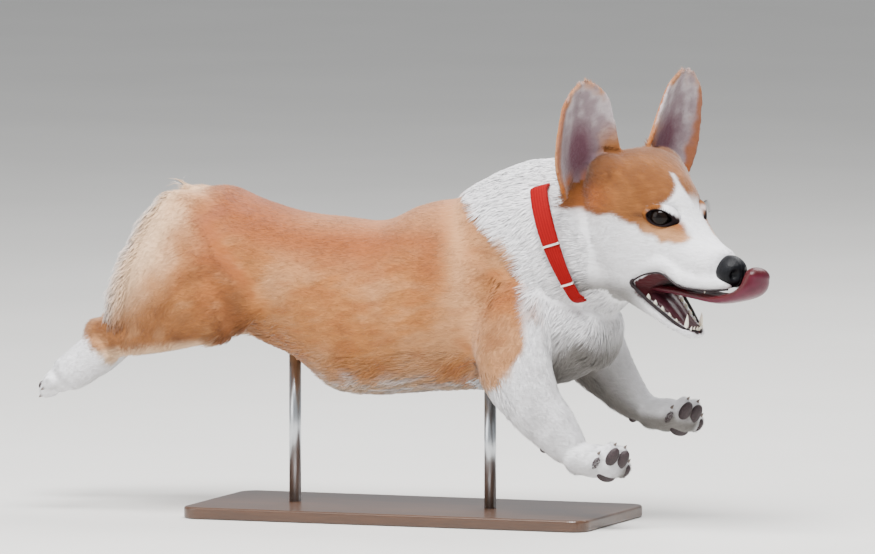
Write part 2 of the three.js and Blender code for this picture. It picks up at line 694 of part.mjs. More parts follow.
// A paw: a rounded block with four toes, each with its claw, and the main pad under them
function pawSolid(place, heading, across, length, width) {
  const along = vec(...heading).normalize();
  const side = vec(...across);
  side.addScaledVector(along, -side.dot(along)).normalize();
  const up = along.clone().cross(side);
  const turn = new THREE.Matrix4().makeBasis(along, side, up).setPosition(...place);
  const height = width * PAW_HEIGHT;
  const body = [length * PAW_BODY.length, width * PAW_BODY.width, height * PAW_BODY.height];
  const pieces = [solidOf(ball([-length * PAW_BODY.back, 0, 0], body, 8, 5))];
  const reach = [length * TOE_SIZE.length, width * TOE_SIZE.width, height * TOE_SIZE.height];
  for (let k = 0; k < 4; k += 1) {
    const spread = (k - 1.5) / 1.5;
    const forward = length * (Math.abs(spread) < 0.5 ? INNER_TOE_FORWARD : OUTER_TOE_FORWARD);
    const aside = spread * width * TOE_SPREAD;
    pieces.push(solidOf(ball([forward, aside, -height * 0.08], reach, 5, 4)));
    const claw = new THREE.ConeGeometry(CLAW_SIZE.radius, CLAW_SIZE.length, 3, 1);
    claw.rotateZ(radians(-90)).rotateY(radians(CLAW_SIZE.droop));
    pieces.push(solidOf(claw.translate(forward + reach[0], aside, -height * 0.12)));
  }
  const pad = [length * PAD_SIZE.length, width * PAD_SIZE.width, PAD_SIZE.depth];
  pieces.push(solidOf(ball([-length * 0.02, 0, -height * 0.48], pad, 6, 4)));
  return joined(pieces).transform(turn.elements);
}

const against = (normal) => normal.map((v) => -v);
const shifted = ([x, ...rest], by) => [x + by, ...rest];

const forelegForm = {
  right: limb(FORELEG_RIGHT, [0, 1, 0], FORELEG_ROUNDING),
  left: limb(FORELEG_LEFT, [0, 1, 0], FORELEG_ROUNDING),
};
const forepaw = { right: FOREPAW_RIGHT, left: FOREPAW_LEFT };

// The three forms of a hind leg, with its foot thrown further back by a trail
function hindForms(side) {
  const trail = side === LEFT ? LEFT_FOOT_TRAIL : 0;
  const trailing = (rows, share) => mirrored(rows, side).map(
    (row, i) => shifted(row, trail * share(i / (rows.length - 1))));
  return {
    trail,
    thigh: limb(mirrored(THIGH, side), [0, 1, 0], [16, THIGH_ROUNDING]),
    shank: limb(trailing(SHANK, (s) => s), [0, -1, 0], [12, SHANK_ROUNDING]),
    foot: limb(trailing(HIND_FOOT, () => 1), [0, -1, 0], [10, 8]),
  };
}
const hindForm = { right: hindForms(RIGHT), left: hindForms(LEFT) };

const forelegBody = (form, margin = 0) => bodyOf(form, 12, 7, margin);
const thighBody = (form, margin = 0) => bodyOf(form, 12, 5, margin);
const shankBody = (form, margin = 0) => bodyOf(form, 10, 4, margin);
const limbRoom = [...Object.values(forelegForm).map((form) => forelegBody(form, FLESH_GAP)),
  ...Object.values(hindForm).flatMap(({ thigh, shank }) => [
    thighBody(thigh, FLESH_GAP), shankBody(shank, FLESH_GAP)])];

// Locks of the trunk and neck keep clear of the limbs, the collar and each other
const neckRoom = bodyOf(neckForm, 18, 6, FLESH_GAP);
const collarRooms = [collarRoom, ...keeperRoom];
const trunkCoats = [CHEST_LOCKS, BELLY_LOCKS];
const trunkLocksGrown = (margin) => joined(trunkCoats.flatMap((coat) => locksOn(trunkForm, coat, margin)));
const trunkLocks = cutBy(trunkLocksGrown(0), [...limbRoom, neckRoom]);
const trunkLockRoom = trunkLocksGrown(GAP);
const ruff = cutBy(joined(locksOn(neckForm, RUFF)), [...limbRoom, trunkLockRoom]);
const ruffRoom = joined(locksOn(neckForm, RUFF, GAP));
const bodyRoom = [trunkRoom, neckRoom, ...collarRooms];
const lockRoom = [trunkLockRoom, ruffRoom];

function addForeleg(name) {
  const form = forelegForm[name];
  const { place, heading, wrist } = forepaw[name];
  const paw = pawSolid(place, heading, [0, 1, 0], FOREPAW_LENGTH, FOREPAW_WIDTH);
  const feathering = cutBy(joined(locksOn(form, ELBOW_LOCKS)), lockRoom);
  const whole = joined([forelegBody(form), paw, feathering]);
  const elbow = ringAt(form, 0.5);
  const elbowNormal = elbow.along.toArray();
  const wristNormal = ringAt(form, 1).along.toArray();
  const upper = beyond(whole, elbow.middle.toArray(), against(elbowNormal));
  const lower = beyond(beyond(whole, elbow.middle.toArray(), elbowNormal), wrist, against(wristNormal));
  addNode(`foreleg_upper_${name}`, cutBy(upper, bodyRoom), COAT_TAN);
  addNode(`foreleg_lower_${name}`, cutBy(lower, bodyRoom), COAT_WHITE);
  addNode(`forepaw_${name}`, beyond(whole, wrist, wristNormal), COAT_WHITE);
}

function addHindLeg(name) {
  const { thigh, shank, foot, trail } = hindForm[name];
  const last = foot.stations[HIND_FOOT.length - 1];
  const heading = vec(...HIND_HEADING).normalize();
  const pawMiddle = vec(...last.slice(0, 3)).addScaledVector(heading, HIND_PAW_LENGTH * 0.2);
  const paw = pawSolid(pawMiddle.toArray(), HIND_HEADING, [0, -1, 0], HIND_PAW_LENGTH, HIND_PAW_WIDTH);
  const locks = cutBy(joined([...locksOn(thigh, BREECHES), ...locksOn(shank, SHANK_LOCKS)]), lockRoom);
  const whole = joined([thighBody(thigh), shankBody(shank), bodyOf(foot, 9, 3), paw, locks]);
  const hock = shifted(HOCK_PLANE.point, trail);
  const leg = beyond(whole, hock, against(HOCK_PLANE.normal));
  const { point: stifle, normal } = STIFLE_PLANE;
  addNode(`thigh_${name}`, cutBy(beyond(leg, stifle, against(normal)), bodyRoom), COAT_TAN);
  addNode(`shank_${name}`, cutBy(beyond(leg, stifle, normal), bodyRoom), COAT_TAN);
  addNode(`hind_foot_${name}`, beyond(whole, hock, HOCK_PLANE.normal), COAT_WHITE);
}

const tailForm = { stations: TAIL, rounding: [0, TAIL_ROUNDING] };
const tailWhole = joined([bodyOf(tailForm, 10, 4), ...locksOn(tailForm, TAIL_TUFT)]);
const tail = cutBy(tailWhole, [trunkRoom, ...limbRoom]);
const neckCuts = [trunkRoom, ...headRoomInPlace, ...earRoomInPlace, ...collarRooms];
addNode('torso', cutBy(trunkWhole.add(trunkLocks), [...rodRoom, ...collarRooms]), COAT_TAN);
addNode('neck', cutBy(neckWhole.add(ruff), neckCuts), COAT_WHITE);
addNode('tail', tail, COAT_WHITE);
addNode('collar', collar, COLLAR_RED);
keepers.forEach((keeper, k) => addNode(`collar_keeper_${k + 1}`, cutBy(keeper, [collarRoom]), KEEPER_METAL));
Object.keys(forelegForm).forEach(addForeleg);
Object.keys(hindForm).forEach(addHindLeg);
addNode('stand_base', baseSolid(), BASE_WOOD);
Object.entries(RODS).forEach(([name, rod]) => addNode(name, rodSolid(rod, 0), ROD_STEEL));

// The origin is the middle of the stand's underside
const box = new THREE.Box3().setFromObject(parts);
const corgi = new THREE.Group();
parts.position.set(-(box.min.x + box.max.x) / 2, -(box.min.y + box.max.y) / 2, -box.min.z);
corgi.add(parts);

export default corgi;
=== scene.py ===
# The looks of a life-size Pembroke Welsh corgi, caught at full stretch in a leap, on a plain display stand.
import math

import bmesh
import bpy
import numpy as np
from mathutils import Matrix, Vector

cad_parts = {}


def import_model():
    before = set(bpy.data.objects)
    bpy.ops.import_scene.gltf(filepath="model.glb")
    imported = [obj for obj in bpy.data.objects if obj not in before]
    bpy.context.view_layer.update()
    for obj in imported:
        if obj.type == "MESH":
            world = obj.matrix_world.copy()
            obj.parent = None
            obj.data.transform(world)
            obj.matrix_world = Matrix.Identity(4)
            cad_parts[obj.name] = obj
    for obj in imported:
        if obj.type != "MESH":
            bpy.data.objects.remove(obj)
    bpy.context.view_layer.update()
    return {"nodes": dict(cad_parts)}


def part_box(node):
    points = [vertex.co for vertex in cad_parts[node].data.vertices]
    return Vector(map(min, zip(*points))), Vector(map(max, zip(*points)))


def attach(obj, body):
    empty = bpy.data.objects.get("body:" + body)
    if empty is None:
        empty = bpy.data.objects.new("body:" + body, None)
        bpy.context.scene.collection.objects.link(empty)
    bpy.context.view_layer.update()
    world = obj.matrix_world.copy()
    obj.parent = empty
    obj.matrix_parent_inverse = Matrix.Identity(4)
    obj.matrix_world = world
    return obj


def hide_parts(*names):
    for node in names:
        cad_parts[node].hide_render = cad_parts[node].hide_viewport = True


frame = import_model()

# Places are millimetres in the animal's own frame: X ahead, Y to its left, Z up.
# The stand's base says where that frame lies in the part.
BASE_MIDDLE_X = 14
BASE_UNDERSIDE_Z = -218
MM = 0.001
base_low, base_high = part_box("stand_base")
SHIFT = np.array([
    (base_low.x + base_high.x) / 2 / MM - BASE_MIDDLE_X,
    (base_low.y + base_high.y) / 2 / MM,
    base_low.z / MM - BASE_UNDERSIDE_Z,
])

RIGHT = -1
LEFT = 1
SIDES = {"right": RIGHT, "left": LEFT}
ROUND = 2 * math.pi


def world(points):
    """Points of the animal's frame as metres in the part's frame."""
    return (np.asarray(points, float) + SHIFT) * MM


# Camera: the photograph is taken from the animal's right, a little ahead of it and a little above
CAMERA_AZIMUTH = 20
CAMERA_ELEVATION = 5
CAMERA_DISTANCE = 20000
CAMERA_TARGET = (39.9, 0, 24.3)
FRAME_WIDTH = 875
SENSOR = 36


def make_camera():
    data = bpy.data.cameras.new("camera")
    data.sensor_width = SENSOR
    data.lens = SENSOR * CAMERA_DISTANCE / FRAME_WIDTH
    camera = bpy.data.objects.new("camera", data)
    bpy.context.scene.collection.objects.link(camera)
    a, e = math.radians(CAMERA_AZIMUTH), math.radians(CAMERA_ELEVATION)
    back = Vector((math.sin(a) * math.cos(e), -math.cos(a) * math.cos(e), math.sin(e)))
    camera.location = Vector(world(CAMERA_TARGET)) + back * CAMERA_DISTANCE * MM
    camera.rotation_mode = "QUATERNION"
    camera.rotation_quaternion = (-back).to_track_quat("-Z", "Y")
    bpy.context.scene.camera = camera


make_camera()


# Forms: rows of x, y, z of the middle, half width, height above and height below

TRUNK = [
    [-240, 0, 84, 27, 20, 28], [-214, 0, 68, 46, 42, 46], [-182, 0, 56, 57, 58, 62],
    [-150, 0, 36, 63, 66, 78], [-105, 0, 18, 69, 72, 80], [-60, 0, 0, 74, 86, 93],
    [-14, 0, -5, 77, 89, 91], [30, 0, 0, 79, 102, 92], [80, 0, 4, 78, 104, 92],
    [130, 0, 4, 76, 86, 90], [180, 0, -12, 68, 56, 66], [212, 0, -24, 52, 36, 38],
]
NECK = [
    [60, 0, 28, 66, 66, 60], [110, 0, 46, 72, 84, 80], [160, -2, 62, 73, 90, 94],
    [205, -6, 76, 66, 80, 90], [228, -10, 83, 58, 66, 80],
]
HEAD = [
    [-98, 0, 4, 44, 34, 56], [-80, 0, 0, 56, 48, 84], [-58, 0, -4, 60, 58, 98],
    [-36, 0, -10, 54, 62, 90], [-16, 0, -16, 40, 60, 72], [2, 0, -22, 34, 53, 50],
    [20, 0, -28, 30.5, 33, 32], [38, 0, -32, 28, 22.5, 29], [56, 0, -35.5, 25, 20.5, 24],
    [66, 0, -37, 20, 21.5, 20],
]
MOUTH = [
    [-34, 0, -78, 20, 3, 4], [-20, 0, -72, 30, 4, 8], [-4, 0, -72, 36, 15, 26],
    [16, 0, -74, 38, 21, 40], [38, 0, -78, 38, 18, 40], [62, 0, -80, 38, 21, 40],
    [88, 0, -80, 38, 26, 40], [114, 0, -80, 38, 30, 40],
]
JAW = [
    [-50, 0, -74, 35, 12, 26], [-28, 0, -83, 31, 9, 20], [-4, 0, -93, 26, 6.5, 15],
    [20, 0, -103, 19, 5, 11], [38, 0, -108, 15, 4, 8],
]
MOUTH_FLOOR = [
    [-34, 0, -70, 24, 7, 8], [-4, 0, -84, 19, 7, 7], [20, 0, -97, 12, 6, 6], [34, 0, -104, 9, 4, 4],
]
TONGUE = [
    [-46, 0, -82, 14, 5, 6], [-18, -1, -78, 15, 4, 5], [14, -3, -72, 16, 4, 4.5],
    [45, -4, -68, 17, 4, 5], [76, -3, -64, 18, 4.5, 5.5], [97, -1, -56, 18, 6, 6],
    [109, 2, -45, 18, 9, 9], [111, 4, -33, 15, 10, 9],
]
FORELEG = {
    "right": [
        [138, -46, 34, 20, 36, 36], [140, -58, -8, 27, 44, 42], [146, -66, -54, 25, 42, 42],
        [165, -66, -92, 21, 33, 33], [184, -64, -115, 18, 29, 29], [200, -62, -136, 16, 24, 22],
    ],
    "left": [
        [160, 42, 30, 20, 36, 36], [166, 52, -8, 26, 46, 42], [182, 58, -44, 24, 40, 40],
        [210, 56, -78, 20, 27, 30], [228, 54, -97, 17, 22, 23], [244, 52, -107, 15, 17, 17],
    ],
}
THIGH = [
    [-198, 30, 86, 20, 42, 48], [-212, 49, 48, 29, 58, 56], [-222, 60, 6, 31, 72, 63],
    [-226, 62, -24, 26, 76, 64],
]
SHANK = [
    [-170, 62, -18, 24, 24, 26], [-225, 60, -28, 24, 26, 28], [-272, 57, -36, 20, 22, 26],
    [-300, 55, -37, 16, 18, 20],
]
HIND_FOOT = [[-296, 55, -48, 15, 19, 21], [-318, 55, -67, 16, 18, 21], [-334, 55, -80, 18, 18, 18]]
FLANK = [[-200, 58, 30, 25, 34, 34], [-172, 60, 6, 21, 36, 34], [-142, 57, -14, 13, 28, 26]]
LEFT_FOOT_TRAIL = -24
TAIL = [[-206, 0, 92, 13, 11, 11], [-220, 0, 100, 11, 8, 10], [-229, 0, 106, 7, 5, 6]]

# Paws: place, the way they point, length and width
FOREPAW = {"right": ((232, -62, -149), (0.98, 0, -0.1)), "left": ((269, 52, -112), (0.99, 0, -0.1))}
FOREPAW_SIZE = (56, 44)
FOREPAW_TOES = (0.5, -0.05, 0.86)
FOREPAW_SOLE = (0.7, -0.6, -0.44)
HIND_HEADING = (-0.86, 0, -0.5)
HIND_TOES = (-0.6, 0, -0.8)
HIND_SOLE = (-0.8, 0, 0.6)
HIND_PAW_SIZE = (44, 38)

# Head: where the point between the eyes is and how the head is turned, in degrees
HEAD_PLACE = np.array([310, -38, 97])
HEAD_TURN = (-24.5, 12, 2)

# Eyes: the ball, the lids' plane before its middle, and the two hollows that each lies in
EYE_PLACE = (-3, 23.5, 0)
EYE_RADIUS = 11.5
EYE_FACING = 30
LID_PLANE = 8
SOCKET_SIZE = (17.5, 12, 7.5)
SOCKET_BEFORE_LIDS = 3.5
BROW_HOLLOW = ((21, 26, 9), (21, 13.5, 15))
NOSE_PLACE = (79, 0, -37)
NOSE_SIZE = (34, 32, 31)

# Lips: the left edge of each from the corner of the mouth to the front, and how far the upper one hangs
UPPER_LIP = [
    (-21, 33, -70), (-10, 34, -62), (2, 33.5, -56), (16, 32.5, -53), (36, 29, -60), (55, 25.5, -59),
    (74, 20, -55.5), (86, 10, -52),
]
FLEW_RADII = [2.5, 5, 8, 8.5, 8, 7.5, 6.5, 5.5]
LOWER_LIP = [
    (-22, 31, -76), (-4, 25.5, -87), (14, 20, -96), (28, 15, -103), (38, 11, -106.5), (46, 3, -108),
]
LIP_CORNER = (-24, 32, -72.5)
MOUTH_BED = [
    [-44, 0, -80, 20, 8, 8], [-20, 0, -87, 21, 9, 8], [4, 0, -96, 16, 9, 8], [24, 0, -105, 10, 6, 6],
    [34, 0, -108, 7, 3, 4],
]

# Teeth of one side, row by row: first place, step to the next, number, length, radius, lean ahead, hook back
LOWER_TEETH = [
    ((37, 10.2, -108), (0, 0, 0), 1, 17, 2.9, 3, 3),
    ((43.5, 1.7, -109), (-1.2, 3.1, 0), 3, 7, 1.7, 2, 0),
    ((26, 12.6, -105), (-8.5, 2.1, 4.3), 5, 6.5, 3, 0, 1),
]
UPPER_TEETH = [
    ((62, 15, -52), (0, 0, 0), 1, 11, 2.8, 0, 2),
    ((48, 19, -53), (-10, 1.2, 0), 2, 6, 3, 0, 2),
    ((28, 21.4, -50), (-10, 1.2, 0), 2, 6, 3, 0, 2),
]

EAR_BASE = (-74, 56, 8)
EAR_TIP = (-82, 74, 122)
EAR_FACING = 6
EAR_HALF_WIDTHS = [30, 37, 41, 40, 36, 31, 24]
EAR_FLARE = 0.3
EAR_CUP = 25.5
EAR_THICKNESS = 5
EAR_TIP_STARTS = 0.8
EAR_TIP_SPAN = 0.205
EAR_ROOT = ((-66, 36, 24), (26, 21, 24))

COLLAR_PLACE = 0.63
COLLAR_WIDTH = 17
COLLAR_THICKNESS = 2.6
STRAP_LENGTH = 420
KEEPER_ANGLES = (182, 208)


# Curves and forms

def catmull(values, s):
    """Values that run smoothly through rows as s goes from 0 to 1."""
    values = np.asarray(values, float)
    last = len(values) - 1
    at = np.clip(s, 0, 1) * last
    i = np.minimum(at.astype(int), last - 1)
    t = (at - i)[:, None]
    b, c = values[i], values[i + 1]
    a = np.where((i > 0)[:, None], values[np.maximum(i - 1, 0)], 2 * b - c)
    d = np.where((i + 2 <= last)[:, None], values[np.minimum(i + 2, last)], 2 * c - b)
    return 0.5 * (2 * b + (c - a) * t + (2 * a - 5 * b + 4 * c - d) * t**2 + (3 * b - a - 3 * c + d) * t**3)


def unit(v):
    v = np.asarray(v, float)
    return v / np.maximum(np.linalg.norm(v, axis=-1, keepdims=True), 1e-9)


def dot(a, b):
    return np.sum(a * b, axis=-1, keepdims=True)


def bent(v, power):
    """A signed value raised to a power, which squares off or rounds a section."""
    return np.sign(v) * np.abs(v) ** power


def turned(along, across, up):
    """The turn that lays the three axes on three directions."""
    return Matrix((along, across, up)).transposed()


def places_of(bm):
    return np.array([v.co for v in bm.verts])


def moved(bm, places):
    for vertex, place in zip(bm.verts, places):
        vertex.co = place


def placed(bm, places):
    """A bmesh with its vertices set on new places and its faces turned outwards."""
    moved(bm, places)
    bmesh.ops.recalc_face_normals(bm, faces=bm.faces)
    return bm


class Form:
    """A line of stations with an oval section at each, grown or drawn in by a margin."""

    def __init__(self, stations, across=(0, 1, 0), rounding=(0, 0), fullness=2.2, upright=False, margin=0):
        self.stations = np.asarray(stations, float)
        self.across = np.asarray(across, float)
        self.rounding = rounding
        self.power = 2 / fullness
        self.upright = upright
        self.margin = margin

    def rings(self, s):
        row = catmull(self.stations, s)
        if self.upright:
            along = np.tile([1.0, 0, 0], (len(s), 1))
        else:
            line = self.stations[:, :3]
            step = 0.01
            along = unit(catmull(line, np.minimum(s + step, 1)) - catmull(line, np.maximum(s - step, 0)))
        across = unit(self.across - along * dot(along, self.across))
        return row, along, across, np.cross(along, across)

    def points(self, s, angle, scale=1.0, push=0.0, lift=0.0):
        row, along, across, up = self.rings(s)
        grow = self.margin + lift
        c = bent(np.cos(angle), self.power) * (row[:, 3] + grow) * scale
        height = np.where(np.sin(angle) > 0, row[:, 4], row[:, 5])
        v = bent(np.sin(angle), self.power) * (height + grow) * scale
        return row[:, :3] + across * c[:, None] + up * v[:, None] + along * np.reshape(push, (-1, 1))


def mirrored(rows, side):
    return [[x, side * abs(y), *rest] for x, y, *rest in rows]


DOME_SHARE = 0.16


def body_mesh(form, sides=48, rows=44, lift=None):
    """A sphere laid on the sections of a form, from its first pole to its last; lift(s, angle) swells it."""
    bm = bmesh.new()
    bmesh.ops.create_uvsphere(bm, u_segments=sides, v_segments=rows, radius=1)
    co = places_of(bm)
    t = np.arccos(np.clip(co[:, 2], -1, 1)) / math.pi
    angle = np.arctan2(co[:, 1], co[:, 0])
    turn = np.clip(np.minimum(t, 1 - t) / DOME_SHARE, 0, 1) * math.pi / 2
    first, last = form.rounding
    push = np.where(t < 0.5, -first, last) * np.cos(turn)
    s = np.clip((t - DOME_SHARE) / (1 - 2 * DOME_SHARE), 0, 1)
    return placed(bm, form.points(s, angle, np.sin(turn), push, lift(s, angle) if lift else 0.0))


def ball_mesh(middle, radii, turn=None, sides=24, rows=16):
    bm = bmesh.new()
    bmesh.ops.create_uvsphere(bm, u_segments=sides, v_segments=rows, radius=1)
    spin = turn.to_4x4() if turn else Matrix.Identity(4)
    bm.transform(Matrix.Translation(middle) @ spin @ Matrix.Diagonal((*radii, 1)))
    bmesh.ops.recalc_face_normals(bm, faces=bm.faces)
    return bm


yaw, pitch, roll = (math.radians(a) for a in HEAD_TURN)
HEAD_MATRIX = (Matrix.Translation(HEAD_PLACE) @ Matrix.Rotation(yaw, 4, "Z")
               @ Matrix.Rotation(pitch, 4, "Y") @ Matrix.Rotation(roll, 4, "X"))
HEAD_AXES = np.array(HEAD_MATRIX.to_3x3())


def to_head(points):
    return (points - HEAD_PLACE) @ HEAD_AXES


def in_head(bm):
    bm.transform(HEAD_MATRIX)
    return bm


# Small tools for meshes and objects

to_part = Matrix.Diagonal((MM, MM, MM, 1)) @ Matrix.Translation(SHIFT)


def metre_mesh(bm, name):
    """A bmesh that is in metres already, as a mesh."""
    mesh = bpy.data.meshes.new(name)
    bm.to_mesh(mesh)
    bm.free()
    return mesh


def mesh_of(bm, name):
    """A bmesh of the animal's frame as a smooth mesh in metres."""
    bm.transform(to_part)
    mesh = metre_mesh(bm, name)
    mesh.polygons.foreach_set("use_smooth", [True] * len(mesh.polygons))
    return mesh


def joined(parts):
    whole = bmesh.new()
    for bm in parts:
        carrier = bpy.data.meshes.new("carrier")
        bm.to_mesh(carrier)
        bm.free()
        whole.from_mesh(carrier)
        bpy.data.meshes.remove(carrier)
    return whole


def shown(name, mesh):
    piece = bpy.data.objects.new(name, mesh)
    bpy.context.scene.collection.objects.link(piece)
    return piece


def applied(piece):
    """The mesh that an object's modifiers make of it, with the object taken away."""
    mesh = bpy.data.meshes.new_from_object(piece.evaluated_get(bpy.context.evaluated_depsgraph_get()))
    bpy.data.objects.remove(piece)
    return mesh


def finished(name, mesh, material, slot, *nodes):
    mesh.name = name
    mesh.materials.clear()
    mesh.materials.append(material)
    piece = shown(name, mesh)
    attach(piece, "root")
    if nodes:
        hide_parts(*nodes)
    return piece


def cut_from(bm, tools):
    """A closed bmesh with closed tools cut out of it."""
    piece = shown("cut", mesh_of(bm, "cut"))
    cutter = shown("cutter", mesh_of(joined(tools), "cutter"))
    step = piece.modifiers.new("cut", "BOOLEAN")
    step.operation = "DIFFERENCE"
    step.solver = "EXACT"
    step.use_self = True
    step.object = cutter
    bpy.context.view_layer.update()
    mesh = applied(piece)
    bpy.data.objects.remove(cutter)
    result = bmesh.new()
    result.from_mesh(mesh)
    bpy.data.meshes.remove(mesh)
    result.transform(to_part.inverted())
    return result


# Colours and materials

def colour(code):
    """An sRGB hex colour as linear red, green and blue."""
    parts = np.array([int(code[i:i + 2], 16) for i in (1, 3, 5)]) / 255
    return np.where(parts <= 0.04045, parts / 12.92, ((parts + 0.055) / 1.055) ** 2.4)


def rgba(code):
    return (*colour(code), 1)


def add_node(tree, kind, settings=(), inputs=(), links=()):
    """Adds a node, sets its fields and sockets, and links sockets of other nodes into it."""
    node = tree.nodes.new(kind)
    for field, value in dict(settings).items():
        setattr(node, field, value)
    for socket, value in dict(inputs).items():
        node.inputs[socket].default_value = value
    for socket, source in dict(links).items():
        tree.links.new(source, node.inputs[socket])
    return node


def new_material(name, roughness, **sockets):
    """A material with its shader's even values set: returns it, its tree and the shader."""
    material = bpy.data.materials.new(name)
    material.use_nodes = True
    tree = material.node_tree
    shader = tree.nodes["Principled BSDF"]
    shader.inputs["Roughness"].default_value = roughness
    for socket, value in sockets.items():
        shader.inputs[socket.replace("_", " ")].default_value = value
    return material, tree, shader


def place_of(tree, scale_mm):
    """Object coordinates counted in steps of a real size."""
    where = add_node(tree, "ShaderNodeTexCoord")
    size = 1 / (scale_mm * MM)
    return add_node(tree, "ShaderNodeMapping", inputs={"Scale": (size, size, size)},
                    links={"Vector": where.outputs["Object"]})


def mixed(tree, factor, low, high, blend="MIX"):
    """A colour between two: each is a hex colour or another node's socket."""
    node = add_node(tree, "ShaderNodeMix", {"data_type": "RGBA", "blend_type": blend})
    for socket, value in (("A", low), ("B", high)):
        target = [s for s in node.inputs if s.name == socket and s.type == "RGBA"][0]
        if isinstance(value, str):
            target.default_value = rgba(value)
        else:
            tree.links.new(value, target)
    if isinstance(factor, (int, float)):
        node.inputs["Factor"].default_value = factor
    else:
        tree.links.new(factor, node.inputs["Factor"])
    return [s for s in node.outputs if s.type == "RGBA"][0]


def noise_of(tree, scale_mm, detail=3, stretch=None):
    spot = place_of(tree, scale_mm)
    if stretch:
        scale = spot.inputs["Scale"]
        scale.default_value = [v * f for v, f in zip(scale.default_value, stretch)]
    return add_node(tree, "ShaderNodeTexNoise", inputs={"Scale": 1, "Detail": detail},
                    links={"Vector": spot.outputs["Vector"]}).outputs["Fac"]


def bumped(tree, shader, height, depth_mm, strength=0.6):
    bump = add_node(tree, "ShaderNodeBump", inputs={"Distance": depth_mm * MM, "Strength": strength},
                    links={"Height": height})
    tree.links.new(bump.outputs["Normal"], shader.inputs["Normal"])


def attribute_of(tree, name):
    return add_node(tree, "ShaderNodeAttribute", {"attribute_name": name}).outputs["Color"]


def painted_material(name, roughness, strength, shade, grain, bump, **sockets):
    """A painted mesh's colours, darkened in a grain; bump is its noise, depth and strength."""
    material, tree, shader = new_material(name, roughness, **sockets)
    fine = noise_of(tree, *grain)
    tint = mixed(tree, strength, attribute_of(tree, "coat"), mixed(tree, fine, shade, "#FFFFFF"), "MULTIPLY")
    tree.links.new(tint, shader.inputs["Base Color"])
    relief, depth_mm, amount = bump
    bumped(tree, shader, noise_of(tree, *relief) if relief else fine, depth_mm, amount)
    return material


def grained_material(name, roughness, low, high, grain, bump=None, **sockets):
    """A surface of one colour that varies between two tones in its grain."""
    material, tree, shader = new_material(name, roughness, **sockets)
    tree.links.new(mixed(tree, noise_of(tree, *grain), low, high), shader.inputs["Base Color"])
    if bump:
        relief, depth_mm, amount = bump
        bumped(tree, shader, noise_of(tree, *relief), depth_mm, amount)
    return material


def pebbled_material(name, roughness, low, high, pebble_mm, depth_mm, strength, **sockets):
    """Leather with raised pebbles."""
    material, tree, shader = new_material(name, roughness, **sockets)
    spot = place_of(tree, pebble_mm)
    pebble = add_node(tree, "ShaderNodeTexVoronoi", inputs={"Scale": 1},
                      links={"Vector": spot.outputs["Vector"]}).outputs["Distance"]
    tree.links.new(mixed(tree, pebble, low, high), shader.inputs["Base Color"])
    bumped(tree, shader, pebble, depth_mm, strength)
    return material


def eye_material():
    """The eye's clear wet surface over a dark brown iris."""
    material, tree, shader = new_material("eye_surface", 0.04, Specular_IOR_Level=0.14)
    tree.links.new(mixed(tree, noise_of(tree, 2, 2), attribute_of(tree, "coat"), "#120C0A"),
                   shader.inputs["Base Color"])
    return material


def strap_material():
    """Red nylon webbing: a fine plain weave on the strap's own lengthwise and crosswise place."""
    material, tree, shader = new_material("nylon_webbing", 0.7, Specular_IOR_Level=0.12)
    where = add_node(tree, "ShaderNodeUVMap", {"uv_map": "strap"})
    thread = 0.9
    size = (STRAP_LENGTH / thread, COLLAR_WIDTH / thread, 1)
    height = add_node(tree, "ShaderNodeMath", {"operation": "MULTIPLY"})
    for k, axis in enumerate("XY"):
        lined = add_node(tree, "ShaderNodeMapping", inputs={"Scale": size},
                         links={"Vector": where.outputs["UV"]})
        wave = add_node(tree, "ShaderNodeTexWave", {"bands_direction": axis},
                        {"Scale": 0.5, "Distortion": 0.4}, {"Vector": lined.outputs["Vector"]})
        tree.links.new(wave.outputs["Fac"], height.inputs[k])
    tree.links.new(mixed(tree, height.outputs[0], "#780206", "#960509"), shader.inputs["Base Color"])
    bumped(tree, shader, height.outputs[0], 0.2, 0.3)
    return material


def wood_material():
    """Dark stained walnut board under satin lacquer, grain running lengthwise."""
    material, tree, shader = new_material("walnut_board", 0.38, Coat_Weight=0.4, Coat_Roughness=0.2)
    pore = noise_of(tree, 1.6, 3, (0.06, 1, 1))
    tint = mixed(tree, noise_of(tree, 14, 6, (0.12, 1, 1)), "#24160F", "#6A452C")
    tree.links.new(mixed(tree, pore, tint, "#3A2618"), shader.inputs["Base Color"])
    bumped(tree, shader, pore, 0.15, 0.3)
    return material


# Dry outer hair of a double coat: dull, with a soft sheen where tufts turn from the light
HAIR = painted_material("guard_hair", 0.72, 0.55, "#B8AFA8", (1.4, 2), (None, 0.5, 0.35),
                        Sheen_Weight=0.25, Sheen_Roughness=0.5, Specular_IOR_Level=0.25)
# Short fur laid flat over skin, broken by the fine streaks of lying hair
SKIN = painted_material("short_fur", 0.85, 0.4, "#8F857C", (3.2, 4, (0.35, 1, 1)), (None, 1.6, 0.7),
                        Sheen_Weight=0.2, Specular_IOR_Level=0.15)
# Dry bare skin of the lids, finely creased
LID_SKIN = painted_material("lid_skin", 0.7, 0.6, "#A8A0A0", (4, 3), ((1, 2), 0.3, 0.3),
                            Specular_IOR_Level=0.05)
# Wet flesh of the tongue, with fine papillae
TONGUE_FLESH = painted_material("tongue_flesh", 0.4, 0.7, "#A89898", (6, 3), ((1.3, 2), 0.5, 0.5),
                                Coat_Weight=0.2, Coat_Roughness=0.25, Specular_IOR_Level=0.2)
# Wet skin of the lips and gums: a thin film of moisture over uneven flesh
WET = {"bump": ((1.2, 2), 0.4, 0.4), "Coat_Weight": 0.12, "Coat_Roughness": 0.2, "Specular_IOR_Level": 0.2}
LIP_SKIN = grained_material("lip_skin", 0.45, "#100A0C", "#24161A", (5, 3), **WET)
GUM_FLESH = grained_material("gum_flesh", 0.5, "#2E0E14", "#5E2E3A", (7, 3), **WET)
